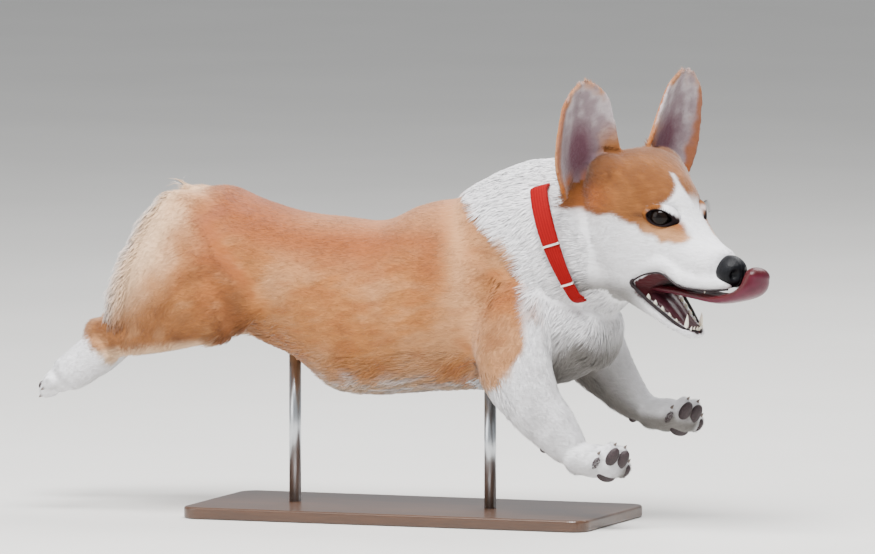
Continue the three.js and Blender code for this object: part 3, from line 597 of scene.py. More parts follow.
# Tooth enamel: ivory and glossy, its tone varying in a fine grain
ENAMEL = grained_material("tooth_enamel", 0.25, "#E4D6BC", "#F6F0E4", (4, 2), Coat_Weight=0.3,
                          Subsurface_Weight=0.1)
# Horn of the claws: grey-brown and streaked
HORN = grained_material("claw_horn", 0.35, "#3A302C", "#7A6C62", (1.5, 3))
# Polished steel with faint rubbing marks along the rods
RUBBED = {"grain": (3, 4, (1, 1, 0.1)), "bump": ((0.8, 2, (1, 1, 0.1)), 0.05, 0.3), "Metallic": 1}
KEEPER_METAL = grained_material("keeper_steel", 0.3, "#D8D4CC", "#F4F0EA", **RUBBED)
ROD_STEEL = grained_material("rod_steel", 0.28, "#A8ACB0", "#D4D8DC", **RUBBED)
# Moist nose leather: blue-black, with wet highlights
NOSE_LEATHER = pebbled_material("nose_leather", 0.46, "#030305", "#0E0F14", 1.5, 0.5, 0.5,
                                Specular_IOR_Level=0.16)
# Paw pads: dry dark leather
PAD_LEATHER = pebbled_material("pad_leather", 0.6, "#140C0E", "#38262A", 1.2, 0.6, 0.6)
# Pale studio floor, faintly mottled
FLOOR = grained_material("studio_floor", 0.8, "#CFCDC9", "#D9D7D3", (300, 3))


# The coat's markings, and painted shade

TAN = colour("#B2743E")
TAN_PALE = colour("#C89468")
COPPER = colour("#965428")
UMBER = colour("#6E4020")
CREAM = colour("#EAC29A")
WHITE = colour("#F4F4F8")
# Grey for painted shade under the belly, chest and cheek
SHADE_GREY = colour("#6E6A64")
EAR_HAIR = colour("#9C8C92")
EAR_PALE = colour("#C4BABE")
EAR_SKIN = colour("#6C4654")
ORANGE = colour("#A2561A")
HEAD_TAN = colour("#784820")
RUSSET = colour("#96583A")
MOUTH_RED = colour("#420F16")
BLACK = colour("#1A1214")

WAVES = np.random.default_rng(5)
WAVE_DIRECTIONS = WAVES.normal(size=(14, 3))
WAVE_STARTS = WAVES.uniform(0, ROUND, 14)


def ripple(points, size_mm):
    """Soft unevenness between -1 and 1 that is the same at the same place."""
    phase = points @ (WAVE_DIRECTIONS.T / size_mm) * 2.2 + WAVE_STARTS
    return np.clip(np.sin(phase).sum(axis=1) / 4.2, -1, 1)


def share(value, low, high):
    """0 below low, 1 above high, smooth between."""
    t = np.clip((value - low) / (high - low), 0, 1)
    return t * t * (3 - 2 * t)


def laid(base, over, amount):
    """A tone with another laid over it by an amount for each point."""
    return base + (over - base) * amount[:, None]


def plain(tone, points):
    return np.tile(tone, (len(points), 1))


def patch(*rows):
    """1 at a spot, falling off smoothly: each row is a distance from it and the patch's reach that way."""
    return np.exp(-sum((gap / reach) ** 2 for gap, reach in rows))


# Where the tan of the shoulder ends and the white of the ruff begins: x at heights z
SHOULDER_EDGE_Z = [-112, -92, -80, -73, -66, -44, -28, -8, 32, 71, 104, 130]
SHOULDER_EDGE_X = [40, 84, 100, 114, 134, 153, 165, 166, 156, 130, 92, 60]
# Where the cream of the breeches begins, behind this x
BREECHES_EDGE_Z = [-60, -22, -12, 20, 42, 58, 71, 95, 117]
BREECHES_EDGE_X = [-310, -285, -268, -244, -226, -222, -224, -220, -214]


def ruff_share(x, z, spread=0):
    """1 in the white of the ruff, chest and forearms, 0 in the tan behind the shoulder's edge."""
    edge = np.interp(z, SHOULDER_EDGE_Z, SHOULDER_EDGE_X) + spread
    return share(x, edge - 6, edge + 8)


def body_colour(p, n):
    """Colours of the trunk, neck and legs at points of the surface."""
    x, y, z = p.T
    uneven = ripple(p, 60)
    fine = ripple(p, 16)
    streak = ripple(p * [0.3, 1, 1], 6)
    tone = laid(plain(TAN, p), TAN_PALE, share(uneven + 0.3 * fine, 0, 1) * 0.7)
    tone = laid(tone, COPPER, share(-uneven + 0.4 * fine, 0.1, 1) * 0.55)
    tone = laid(tone, COPPER, share(streak, 0.1, 1) * 0.4)
    tone = laid(tone, TAN_PALE, share(-streak, 0.2, 1) * 0.3)
    # deeper along the back, with a swirl over the rump
    tone = laid(tone, COPPER, share(n[:, 2], 0, 0.7))
    swirl = 0.45 + 0.35 * ripple(p * [0.6, 1, 1], 10)
    tone = laid(tone, RUSSET, patch((x + 168, 52), (z - 88, 30)) * swirl)
    # paler band behind the shoulder and deeper patches beside it; painted shade in the fold along the flank
    tone = laid(tone, TAN_PALE, patch((x - 92 + 0.12 * z, 13)) * share(z, -40, 30) * 0.8)
    tone = laid(tone, COPPER, patch((x - 62 + 0.1 * z, 14), (z - 48, 34)) * 0.7)
    tone = laid(tone, UMBER, patch((x - 118, 13), (z - 35, 50)) * 0.35)
    tone = laid(tone, TAN_PALE, share(z, 60, 90) * share(x, -130, -60) * 0.45)
    # painted shade in the fold of the flank before the stifle
    tone = laid(tone, UMBER, patch((x + 150 - 0.25 * z, 17), (z + 12, 34)) * 0.85)
    # painted shade along the crease between thigh and trunk
    crease_shade = patch((z - 24 - 0.35 * (x + 190), 9), (x + 185, 30))
    tone = laid(tone, UMBER, crease_shade * 0.6 * share(np.abs(y), 50, 70))
    # cream breeches and tail, white at their back
    edge = np.interp(z, BREECHES_EDGE_Z, BREECHES_EDGE_X) + 6 * fine
    tone = laid(tone, TAN_PALE, 1 - share(x, edge - 6, edge + 44))
    tone = laid(tone, CREAM, 1 - share(x, edge - 22, edge + 24))
    tone = laid(tone, WHITE, share(-n[:, 0], 0.3, 0.95) * share(-x, 212, 240) * share(z, -60, -10) * 0.7)
    # thigh and shank: tan with dark streaks, cream below
    tone = laid(tone, UMBER, patch((x + 226, 48), (z + 14, 26)) * (0.6 + 0.2 * streak))
    hair = laid(plain(TAN, p), UMBER, 0.55 + share(fine, 0.1, 0.9) * 0.3)
    hair = laid(hair, TAN_PALE, share(-fine, 0.2, 0.9) * 0.35)
    tone = laid(tone, hair, share(-z, 2, 30) * share(-x, 160, 185))
    tone = laid(tone, CREAM, share(-z - 44 + 0.12 * (x + 260), 0, 12) * (x < -165) * (z < -14))
    # hock: painted shade in a hollow, a pale rim, then a white foot
    back = x - np.where(y > 20, LEFT_FOOT_TRAIL, 0)
    rim = patch((np.hypot(back + 294, z + 32) - 15, 4)) * (back < -286)
    # painted shade in the hollow of the hock
    tone = laid(tone, UMBER, patch((back + 294, 6), (z + 32, 6)) * 0.7)
    tone = laid(tone, TAN_PALE, rim * 0.5)
    past_hock = -0.75 * (back + 302) - 0.66 * (z + 52) + 3 * fine
    tone = laid(tone, WHITE, share(past_hock, -6, 4) * (x < -240) * (z < -20))
    # pale belly, greyed by painted shade where it faces down
    under = share(-z - 62 + 5 * fine, 0, 26) * share(-n[:, 2] + 0.25, 0, 0.5) * (x > -170)
    # painted shade: cream mixed with grey on the underside
    shaded_cream = laid(plain(CREAM, p), SHADE_GREY, 0.25 + 0.25 * fine)
    tone = laid(tone, laid(shaded_cream, WHITE, share(streak, -0.4, 0.8) * 0.7), under)
    # white ruff, chest and forearms, with painted shade low between the forelegs and under the chest
    inner = (np.abs(y) < 42) & (x > 96) & (z < -20)
    white = np.maximum(ruff_share(x, z, 7 * fine + 4 * uneven), inner)
    white = np.maximum(white, share(-z - 80 + 0.2 * (x - 120), 0, 14) * (x > 70))
    tone = laid(tone, WHITE, white)
    # painted shade: grey low in the depth between the forelegs
    tone = laid(tone, SHADE_GREY, share(-z, -30, 60) * share(x, 150, 175) * (0.2 + 0.1 * fine))
    # painted shade on the bib: grey where the chest's surface faces down
    bib_shade = share(-n[:, 2], -0.4, 0.3) * share(-z, -6, 40) * share(x, 90, 130)
    bib_shade *= share(-z - 0.9 * (x - 170), -120, -60) * share(70 - np.abs(y), 0, 20)
    return laid(tone, SHADE_GREY, bib_shade * 0.92)


# Lower edge of the head's tan: z at places x; front of the tan and half width of the blaze: at heights z
TAN_EDGE_X = [-95, -80, -60, -45, -28, -12, 8, 30, 46, 54]
TAN_EDGE_Z = [-14, -11, -10, -8, -9, -19, -23, -19, -9, 4]
TAN_FRONT_Z = [-14, 4, 9]
TAN_FRONT_X = [46, 26, 16]
BLAZE_Z = [6, 14, 20, 26, 32, 44, 50]
BLAZE_HALF = [24, 15, 10, 5, 1.6, 0.9, -3]


def head_colour(h):
    """Colours of the head at points of its own frame."""
    x, y, z = h.T
    out = np.abs(y)
    uneven = ripple(h, 26)
    fine = ripple(h, 9)
    streak = ripple(h * [0.35, 1, 1], 5)
    tan = laid(plain(HEAD_TAN, h), UMBER, share(uneven, 0, 1) * 0.35 + share(streak, 0.1, 1) * 0.25)
    tan = laid(tan, TAN, share(-uneven, 0.1, 1) * 0.2 + share(-streak, 0.3, 1) * 0.15)
    tan = laid(tan, TAN_PALE, share(-z, 2, 14) * share(x, -26, -4) * 0.75)
    edge = np.interp(x, TAN_EDGE_X, TAN_EDGE_Z) + 2 * fine
    tan_share = share(z, edge - 2, edge + 4)
    # white from the muzzle up between the eyes, narrowing to a blaze up the forehead
    ahead = np.interp(z, TAN_FRONT_Z, TAN_FRONT_X) + 3 * fine
    tan_share *= 1 - share(x, ahead - 14, ahead + 5) * share(14 - z, 0, 5)
    tan_share *= np.maximum(share(-x, -16, -4), share(out, 13, 19))
    blaze = np.interp(z, BLAZE_Z, BLAZE_HALF)
    blaze_middle = -4 - 0.2 * (46 - z)
    within = 1 - share(np.abs(y - blaze_middle), blaze - 1, blaze + 2.5)
    strong = np.interp(z, [26, 34], [1, 0.7]) * share(z, 1, 7)
    tan_share *= 1 - strong * within * share(x, -14, -4 - 0.2 * z)
    tone = laid(plain(WHITE, h), tan, np.clip(tan_share, 0, 1))
    # rust at the tear duct, dark outer corner, orange root of the ear, painted shade under the cheek
    tone = laid(tone, ORANGE, patch((x - 22, 5), (z + 2, 4)) * share(out, 12, 18) * 0.7)
    tone = laid(tone, BLACK, patch((x + 19, 6), (z + 1, 2.6)) * share(out, 20, 28) * 0.6)
    root = patch((x + 68, 20), (out - 66, 24), (z - 6, 15))
    tone = laid(tone, ORANGE, np.clip(root * 1.2, 0, 1) * 0.8)
    # painted shade: grey under the cheek and jaw
    return laid(tone, SHADE_GREY, share(-z - 66, 0, 22) * share(-x, -10, 30) * 0.85)


def ear_half(t, across):
    """Half width of an ear at heights up it; near its base it flares on the side of the crown."""
    flare = np.where(across < 0, EAR_FLARE * share(0.5 - t, 0, 0.5), 0)
    return catmull(np.array(EAR_HALF_WIDTHS)[:, None], t)[:, 0] * (1 + flare)


def ear_frame(side):
    """An ear's base, its rise to the tip, the way across it and the way it faces."""
    base = np.array(EAR_BASE, float) * (1, side, 1)
    rise = np.array(EAR_TIP, float) * (1, side, 1) - base
    along = unit(rise)
    turn = math.radians(EAR_FACING)
    facing = np.array([math.cos(turn), side * math.sin(turn), 0])
    facing = unit(facing - along * (facing @ along))
    return base, rise, side * np.cross(along, facing), facing


def ear_cup(u, t):
    """How far an ear's hollow lies before its rim's plane: always behind it."""
    return -EAR_CUP * (1 - u * u) * (1 - 0.75 * t)


def ear_place(h, side):
    """Head-frame points' place on an ear: across it (-1 to 1), up it (0 to 1) and before its cup."""
    base, rise, outward, facing = ear_frame(side)
    arm = h - base
    t = arm @ unit(rise) / np.linalg.norm(rise)
    across = arm @ outward
    u = across / ear_half(t, across)
    return u, t, arm @ facing - ear_cup(np.clip(u, -1, 1), np.clip(t, 0, 1))


def ear_colour(h, side, inside):
    """Tan on an ear's back; inside it, grey hair over bare skin, with a tan rim."""
    u, t, _ = ear_place(h, side)
    fine = ripple(h, 7)
    back = laid(plain(TAN, h), COPPER, share(ripple(h, 20), -0.5, 1) * 0.8)
    hair = laid(plain(EAR_HAIR, h), EAR_PALE, share(0.4 * fine + t + np.abs(u + 0.1) * 0.5, 0.6, 1.3))
    hair = laid(hair, EAR_SKIN, np.clip(patch((u + 0.02 - 0.1 * t, 0.42), (t - 0.34, 0.27)) * 1.3, 0, 1))
    hair = laid(hair, COPPER, share(u + 0.08 * fine, 0.62, 0.8) * 0.9)
    hair = laid(hair, TAN, share(t + 0.2 * np.abs(u) + 0.05 * fine, 0.93, 1.07) * 0.9)
    hair = laid(hair, TAN, share(-u + 0.1 * fine, 0.35, 0.85) * share(0.66 - t, 0, 0.35))
    if side == LEFT:
        hair = laid(hair, ORANGE, share(-u + 0.1 * fine, 0.1, 0.6) * share(0.6 - t, 0, 0.3) * 0.9)
    hair = laid(hair, TAN_PALE, share(np.abs(u), 0.93, 0.98) * 0.8)
    hair = laid(hair, ORANGE, share(0.2 - t, 0, 0.12) * share(np.abs(u), 0.05, 0.3))
    return laid(back, hair, inside.astype(float))


# The skin: one body of all the flesh, drawn in by the coat's depth

def paw_parts(place, heading, size, toe_way, sole_way):
    """A paw: its block and four toes that point their own way, with the place, turn and size of each toe."""
    along = Vector(heading).normalized()
    side = Vector((0, 1 if heading[0] > 0 else -1, 0))
    turn = turned(along, side, along.cross(side))
    length, width = size
    height = width * 0.66
    middle = Vector(place)
    toe_way = Vector(toe_way).normalized()
    across = toe_way.cross(Vector(sole_way)).normalized()
    toe_turn = turned(toe_way, across, toe_way.cross(across))
    knuckles = middle + along * length * 0.22 + toe_way * length * 0.08
    blocks = [
        (middle - along * length * 0.08, (0.42, 0.42, 0.58), turn),
        (middle - along * length * 0.32, (0.34, 0.36, 0.56), turn),
    ]
    toe_frames = []
    for k in range(4):
        spread = (k - 1.5) / 1.5
        inner = abs(spread) < 0.5
        part = 1 if inner else 0.8
        toe = knuckles + across * spread * width * 0.44 + toe_way * length * (0.08 if inner else -0.12)
        blocks.append((toe, (0.23 * part, 0.18 * part, 0.36 * part), toe_turn))
        toe_frames.append((toe, toe_turn, length * part, width * part, height * part))
    blocks.append((knuckles - toe_way * length * 0.14, (0.22, 0.42, 0.46), toe_turn))
    parts = [ball_mesh(spot, (length * a, width * b, height * c), way) for spot, (a, b, c), way in blocks]
    return parts, toe_frames


def ear_leaf(side, columns=30, rows=40):
    """A cupped ear leaf, swept from a flat grid and thickened."""
    bm = bmesh.new()
    bmesh.ops.create_grid(bm, x_segments=columns, y_segments=rows, size=1)
    u, v, _ = places_of(bm).T
    t = np.sin((v + 1) * math.pi / 4) ** 1.25
    base, rise, outward, facing = ear_frame(side)
    into_tip = np.maximum(t - EAR_TIP_STARTS, 0) / EAR_TIP_SPAN
    half = ear_half(t, u) * np.sqrt(np.maximum(1 - into_tip**2, 0.02)) - 1.5
    middle = base - unit(rise) * 2 + rise * t[:, None]
    placed(bm, middle + outward * (u * half)[:, None] + facing * ear_cup(u, t)[:, None])
    bm.normal_update()
    for vertex, normal in [(v, v.normal.copy()) for v in bm.verts]:
        vertex.co -= normal * EAR_THICKNESS / 2
    bmesh.ops.solidify(bm, geom=bm.faces[:], thickness=-EAR_THICKNESS)
    bmesh.ops.recalc_face_normals(bm, faces=bm.faces)
    return bm


def eye_frame(side):
    """An eye's middle, the way it faces, level towards the nose, and up."""
    turn = math.radians(EYE_FACING)
    out = Vector((math.sin(turn), side * math.cos(turn), 0.08)).normalized()
    level = (Vector((1, 0, 0)) - out * out.x).normalized()
    upward = out.cross(level) * -side
    return Vector((EYE_PLACE[0], side * EYE_PLACE[1], EYE_PLACE[2])), out, level, upward.normalized()


def tube(path, radii, sides=10, steps=6):
    """A closed tube with round ends along a smooth line."""
    rows = [[*p, w, h, h] for p, (w, h) in zip(path, radii)]
    form = Form(rows, across=(0, 1, 0.01), rounding=(radii[0][1], radii[-1][1]), fullness=2)
    return body_mesh(form, sides, steps * len(path))


def hind_rows(rows, side, part):
    trail = LEFT_FOOT_TRAIL if side == LEFT else 0
    last = len(rows) - 1
    return [[x + trail * part(i / last), side * abs(y), *rest] for i, (x, y, *rest) in enumerate(rows)]


trunk = Form(TRUNK, rounding=(8, 16), fullness=2.15, upright=True, margin=-4)
neck = Form(NECK, rounding=(0, 12), fullness=2.1, margin=-7)
head = Form(HEAD, rounding=(10, 8), fullness=2.35, upright=True, margin=-1.5)
jaw = Form(JAW, rounding=(0, 11), fullness=2.4, margin=-0.5)
tail = Form(TAIL, rounding=(0, 5), margin=-1)
limbs = {}
for name, side in SIDES.items():
    limbs[f"foreleg_{name}"] = Form(FORELEG[name], rounding=(14, 12), margin=-3)
    limbs[f"thigh_{name}"] = Form(mirrored(THIGH, side), rounding=(16, 20), margin=-3)
    limbs[f"shank_{name}"] = Form(hind_rows(SHANK, side, lambda s: s), (0, -1, 0), (12, 16), margin=-2.5)
    foot_rows = hind_rows(HIND_FOOT, side, lambda s: 1)
    limbs[f"hind_foot_{name}"] = Form(foot_rows, (0, -1, 0), (10, 8), margin=0.5)

toes = {}
hind_places = {}
flesh = [body_mesh(trunk, 72, 80), body_mesh(neck, 60, 50), body_mesh(tail, 24, 20)]
flesh += [body_mesh(form) for form in limbs.values()]
flesh += [body_mesh(Form(mirrored(FLANK, side), rounding=(10, 10), margin=-4)) for side in SIDES.values()]
for name, side in SIDES.items():
    parts, toes[f"forepaw_{name}"] = paw_parts(*FOREPAW[name], FOREPAW_SIZE, FOREPAW_TOES, FOREPAW_SOLE)
    flesh += parts
    ankle = Vector(limbs[f"hind_foot_{name}"].stations[-1][:3])
    place = ankle + Vector(HIND_HEADING).normalized() * HIND_PAW_SIZE[0] * 0.2
    hind_places[name] = place
    parts, toes[f"hind_paw_{name}"] = paw_parts(place, HIND_HEADING, HIND_PAW_SIZE, HIND_TOES, HIND_SOLE)
    flesh += parts

sockets = []
for side in SIDES.values():
    middle, out, level, upward = eye_frame(side)
    hollow = middle + out * (LID_PLANE + SOCKET_BEFORE_LIDS)
    sockets.append(ball_mesh(hollow, SOCKET_SIZE, turned(level, upward, out)))
    (x, y, z), radii = BROW_HOLLOW
    sockets.append(ball_mesh(Vector((x, side * y, z)), radii))
skull = cut_from(body_mesh(head, 64, 60), [body_mesh(Form(MOUTH, fullness=3), 40, 30), *sockets])
chin = cut_from(body_mesh(jaw, 40, 36), [body_mesh(Form(MOUTH_FLOOR, rounding=(0, 3)), 30, 24)])
flesh += [in_head(skull), in_head(chin)]
for side in SIDES.values():
    path = [(x - 2, side * 0.78 * y, z + r - 0.5) for (x, y, z), r in zip(UPPER_LIP, FLEW_RADII)]
    flesh.append(in_head(tube(path, [(r, r) for r in FLEW_RADII], 16, 8)))
for side in SIDES.values():
    (x, y, z), radii = EAR_ROOT
    flesh.append(in_head(ball_mesh((x, side * y, z), radii)))
    flesh.append(in_head(ear_leaf(side)))

VOXEL_MM = 2.6
EASING_PASSES = 24
source = shown("flesh", mesh_of(joined(flesh), "flesh"))
remesh = source.modifiers.new("one_body", "REMESH")
remesh.mode = "VOXEL"
remesh.voxel_size = VOXEL_MM * MM
soften = source.modifiers.new("soften", "SMOOTH")
soften.factor = 0.5
soften.iterations = 6
skin_mesh = applied(source)
skin_mesh.polygons.foreach_set("use_smooth", [True] * len(skin_mesh.polygons))


def eased(mesh, passes):
    """Evens out the folds where limbs meet the body; head, paws and hind feet keep their shape."""
    count = len(mesh.vertices)
    co = np.zeros(count * 3)
    mesh.vertices.foreach_get("co", co)
    co = co.reshape(-1, 3)
    ends = np.zeros(len(mesh.edges) * 2, np.int64)
    mesh.edges.foreach_get("vertices", ends)
    a, b = ends.reshape(-1, 2).T
    degree = np.maximum(np.bincount(a, minlength=count) + np.bincount(b, minlength=count), 1)
    p = co / MM - SHIFT
    off_tail = share(np.linalg.norm(p - TAIL[-1][:3], axis=1), 14, 34)
    off_head = share(-92 - to_head(p)[:, 0], 0, 14)
    off_paws = share(p[:, 2] + 122, 0, 16) * share(p[:, 0] + 288, 0, 20)
    amount = off_tail * off_head * off_paws * 0.5
    for _ in range(passes):
        total = [np.bincount(a, co[b, k], count) + np.bincount(b, co[a, k], count) for k in range(3)]
        co += (np.stack(total, axis=1) / degree[:, None] - co) * amount[:, None]
    mesh.vertices.foreach_set("co", co.ravel())
    mesh.update()


eased(skin_mesh, EASING_PASSES)


def mesh_arrays(mesh):
    """Places in the animal's frame, normals and triangles of a mesh."""
    co = np.zeros(len(mesh.vertices) * 3, np.float32)
    mesh.vertices.foreach_get("co", co)
    normals = np.zeros(len(mesh.vertices) * 3, np.float32)
    mesh.vertex_normals.foreach_get("vector", normals)
    mesh.calc_loop_triangles()
    triangles = np.zeros(len(mesh.loop_triangles) * 3, np.int32)
    mesh.loop_triangles.foreach_get("vertices", triangles)
    places = co.reshape(-1, 3).astype(float) / MM - SHIFT
    return places, normals.reshape(-1, 3).astype(float), triangles.reshape(-1, 3)


# Regions: which form a point of the skin belongs to, and its place on it

def paw_form(place, heading, size):
    """The line and size of a paw, as a form."""
    length, width = size
    reach = unit(heading) * length * 0.4
    ends = [np.array(place) - reach * 0.5, np.array(place) + reach]
    return Form([[*end, width * 0.4, width * 0.3, width * 0.3] for end in ends])


REGION_FORMS = {"trunk": trunk, "neck": neck, "tail": tail, **limbs}
for name in SIDES:
    REGION_FORMS[f"forepaw_{name}"] = paw_form(*FOREPAW[name], FOREPAW_SIZE)
    REGION_FORMS[f"hind_paw_{name}"] = paw_form(hind_places[name], HIND_HEADING, HIND_PAW_SIZE)
REGIONS = [*REGION_FORMS, "head", "ear_right", "ear_left"]


def of_region(number, *names):
    """True where a region's number is one of the named ones."""
    return np.isin(number, [REGIONS.index(n) for n in names])


def region_of(p):
    """The region's number, place along it and angle round it of points in the animal's frame."""
    best = np.full(len(p), 1e9)
    number = np.zeros(len(p), int)
    along = np.zeros(len(p))
    for index, form in enumerate(REGION_FORMS.values()):
        s = np.linspace(0, 1, 24)
        row = form.rings(s)[0]
        size = row[:, 3:].mean(axis=1)
        gap = np.linalg.norm(p[:, None, :] - row[None, :, :3], axis=2) - size
        nearest = gap.argmin(axis=1)
        value = gap[np.arange(len(p)), nearest]
        closer = value < best
        best[closer] = value[closer]
        number[closer] = index
        along[closer] = s[nearest[closer]]
    angle = np.zeros(len(p))
    for index, form in enumerate(REGION_FORMS.values()):
        mine = number == index
        if mine.any():
            row, _, across, up = form.rings(along[mine])
            arm = p[mine] - row[:, :3]
            angle[mine] = np.arctan2(dot(arm, up)[:, 0], dot(arm, across)[:, 0])
    h = to_head(p)
    on_head = (h[:, 0] > -86 - 0.12 * h[:, 2]) & (h[:, 2] > -128) & (np.abs(h[:, 1]) < 110)
    on_head &= (h[:, 0] > -50) | (h[:, 2] > -88)
    on_head |= (h[:, 0] > -100) & (h[:, 2] > -14) & (np.abs(h[:, 1]) > 34) & (np.abs(h[:, 1]) < 110)
    number[on_head] = REGIONS.index("head")
    along[on_head] = np.clip((h[on_head, 0] + 100) / 200, 0, 1)
    angle[on_head] = np.arctan2(h[on_head, 2] + 20, h[on_head, 1])
    inside = np.zeros(len(p), bool)
    for name, side in SIDES.items():
        u, t, before = ear_place(h, side)
        aside = h[:, 1] * side
        on_ear = (t > 0.06) & (t < 1.06) & (np.abs(u) < 1.25) & (np.abs(before) < 9) & (aside > 14)
        outer = (t < 0.5) & (u > -0.6) & (u < 1.2) & (aside > 30)
        on_ear &= (h[:, 2] > 52) | outer
        number[on_ear] = REGIONS.index(f"ear_{name}")
        along[on_ear] = t[on_ear]
        inside |= on_ear & (before > 0)
        angle[on_ear] = np.clip(u[on_ear], -1.2, 1.2) * 1.2 + np.where(before[on_ear] > 0, 1.6, -1.6)
    return number, along, angle, inside


def inside_form(h, rows, margin):
    """True for head-frame points inside upright rows grown by a margin, with the height of their middle."""
    rows = np.array(rows, float)
    middle, half, above, below = (np.interp(h[:, 0], rows[:, 0], rows[:, k]) for k in (2, 3, 4, 5))
    height = np.where(h[:, 2] > middle, above, below) + margin
    reach = np.abs(h[:, 1] / (half + margin)) ** 3 + np.abs((h[:, 2] - middle) / height) ** 3
    return (reach < 1) & (h[:, 0] > rows[0, 0] - 2), middle


def in_mouth(h):
    """True for head-frame points of the mouth's inner walls."""
    hollow, middle = inside_form(h, MOUTH, 0.8)
    floor, _ = inside_form(h, MOUTH_FLOOR, 1.2)
    throat = (np.abs(h[:, 0] + 30) < 30) & (np.abs(h[:, 1]) < 27) & (np.abs(h[:, 2] + 72) < 14)
    return (hollow & (h[:, 0] < 84) & ((h[:, 2] > middle) | (h[:, 0] < -14))) | floor | throat


def coat_colour(p, n, number, inside):
    """The markings of skin and coat, with painted shade under the body and head."""
    tone = body_colour(p, n)
    h = to_head(p)
    on_head = of_region(number, "head")
    if on_head.any():
        tone[on_head] = head_colour(h[on_head])
    for name, side in SIDES.items():
        mine = of_region(number, f"ear_{name}")
        if mine.any():
            tone[mine] = ear_colour(h[mine], side, inside[mine])
    return np.clip(tone, 0, 1)


def in_socket(h, wide, high):
    """True for head-frame points within an oval of the lids' plane round either eye."""
    near = np.zeros(len(h), bool)
    for side in SIDES.values():
        middle, out, level, upward = (np.array(v) for v in eye_frame(side))
        gap = h - middle - out * LID_PLANE
        near |= ((gap @ level / wide) ** 2 + (gap @ upward / high) ** 2 < 1) & (np.abs(gap @ out) < 12)
    return near


def paint(mesh, tones):
    layer = mesh.color_attributes.new("coat", "FLOAT_COLOR", "POINT")
    full = np.ones((len(tones), 4), np.float32)
    full[:, :3] = tones
    layer.data.foreach_set("color", full.ravel())


points, normals, triangles = mesh_arrays(skin_mesh)
skin_region, skin_along, skin_angle, skin_inside = region_of(points)
skin_tone = coat_colour(points, normals, skin_region, skin_inside)
skin_head = to_head(points)
skin_tone[in_mouth(skin_head) & of_region(skin_region, "head")] = MOUTH_RED
skin_tone[in_socket(skin_head, 15, 9.6)] = BLACK
paint(skin_mesh, skin_tone)
FLESH_STARTS = (
    "head", "lower_jaw", "ear_", "torso", "neck", "tail", "foreleg", "forepaw", "thigh", "shank", "hind_foot",
)
finished("skin", skin_mesh, SKIN, "coat_tan", *(n for n in frame["nodes"] if n.startswith(FLESH_STARTS)))


# The strap narrows under the coat and leans ahead towards the throat
def strap_width(sine):
    return COLLAR_WIDTH * (1.1 - 0.45 * share(-sine, -0.2, 0.7))


def strap_lean(sine):
    return 6 - 4 * sine


# The coat: flat tapered tufts, laid along the hair's own lie

# Tufts on a square centimetre: cover divided by a tuft's length and width, between limits, then thinned
SHORT_COVER = 560
LONG_COVER = 850
COVER_LIMITS = (20, 150)
TUFT_SHARE = 0.72
SHORT_BELOW = 11
# Hair of the feet: length and lie
FEET_HAIR = {
    "hind_foot": (6.5, (-0.8, 0, -0.6)),
    "forepaw": (4.5, (0.95, 0, -0.2)),
    "hind_paw": (4.5, (-0.86, 0, -0.5)),
}
rng = np.random.default_rng(20)


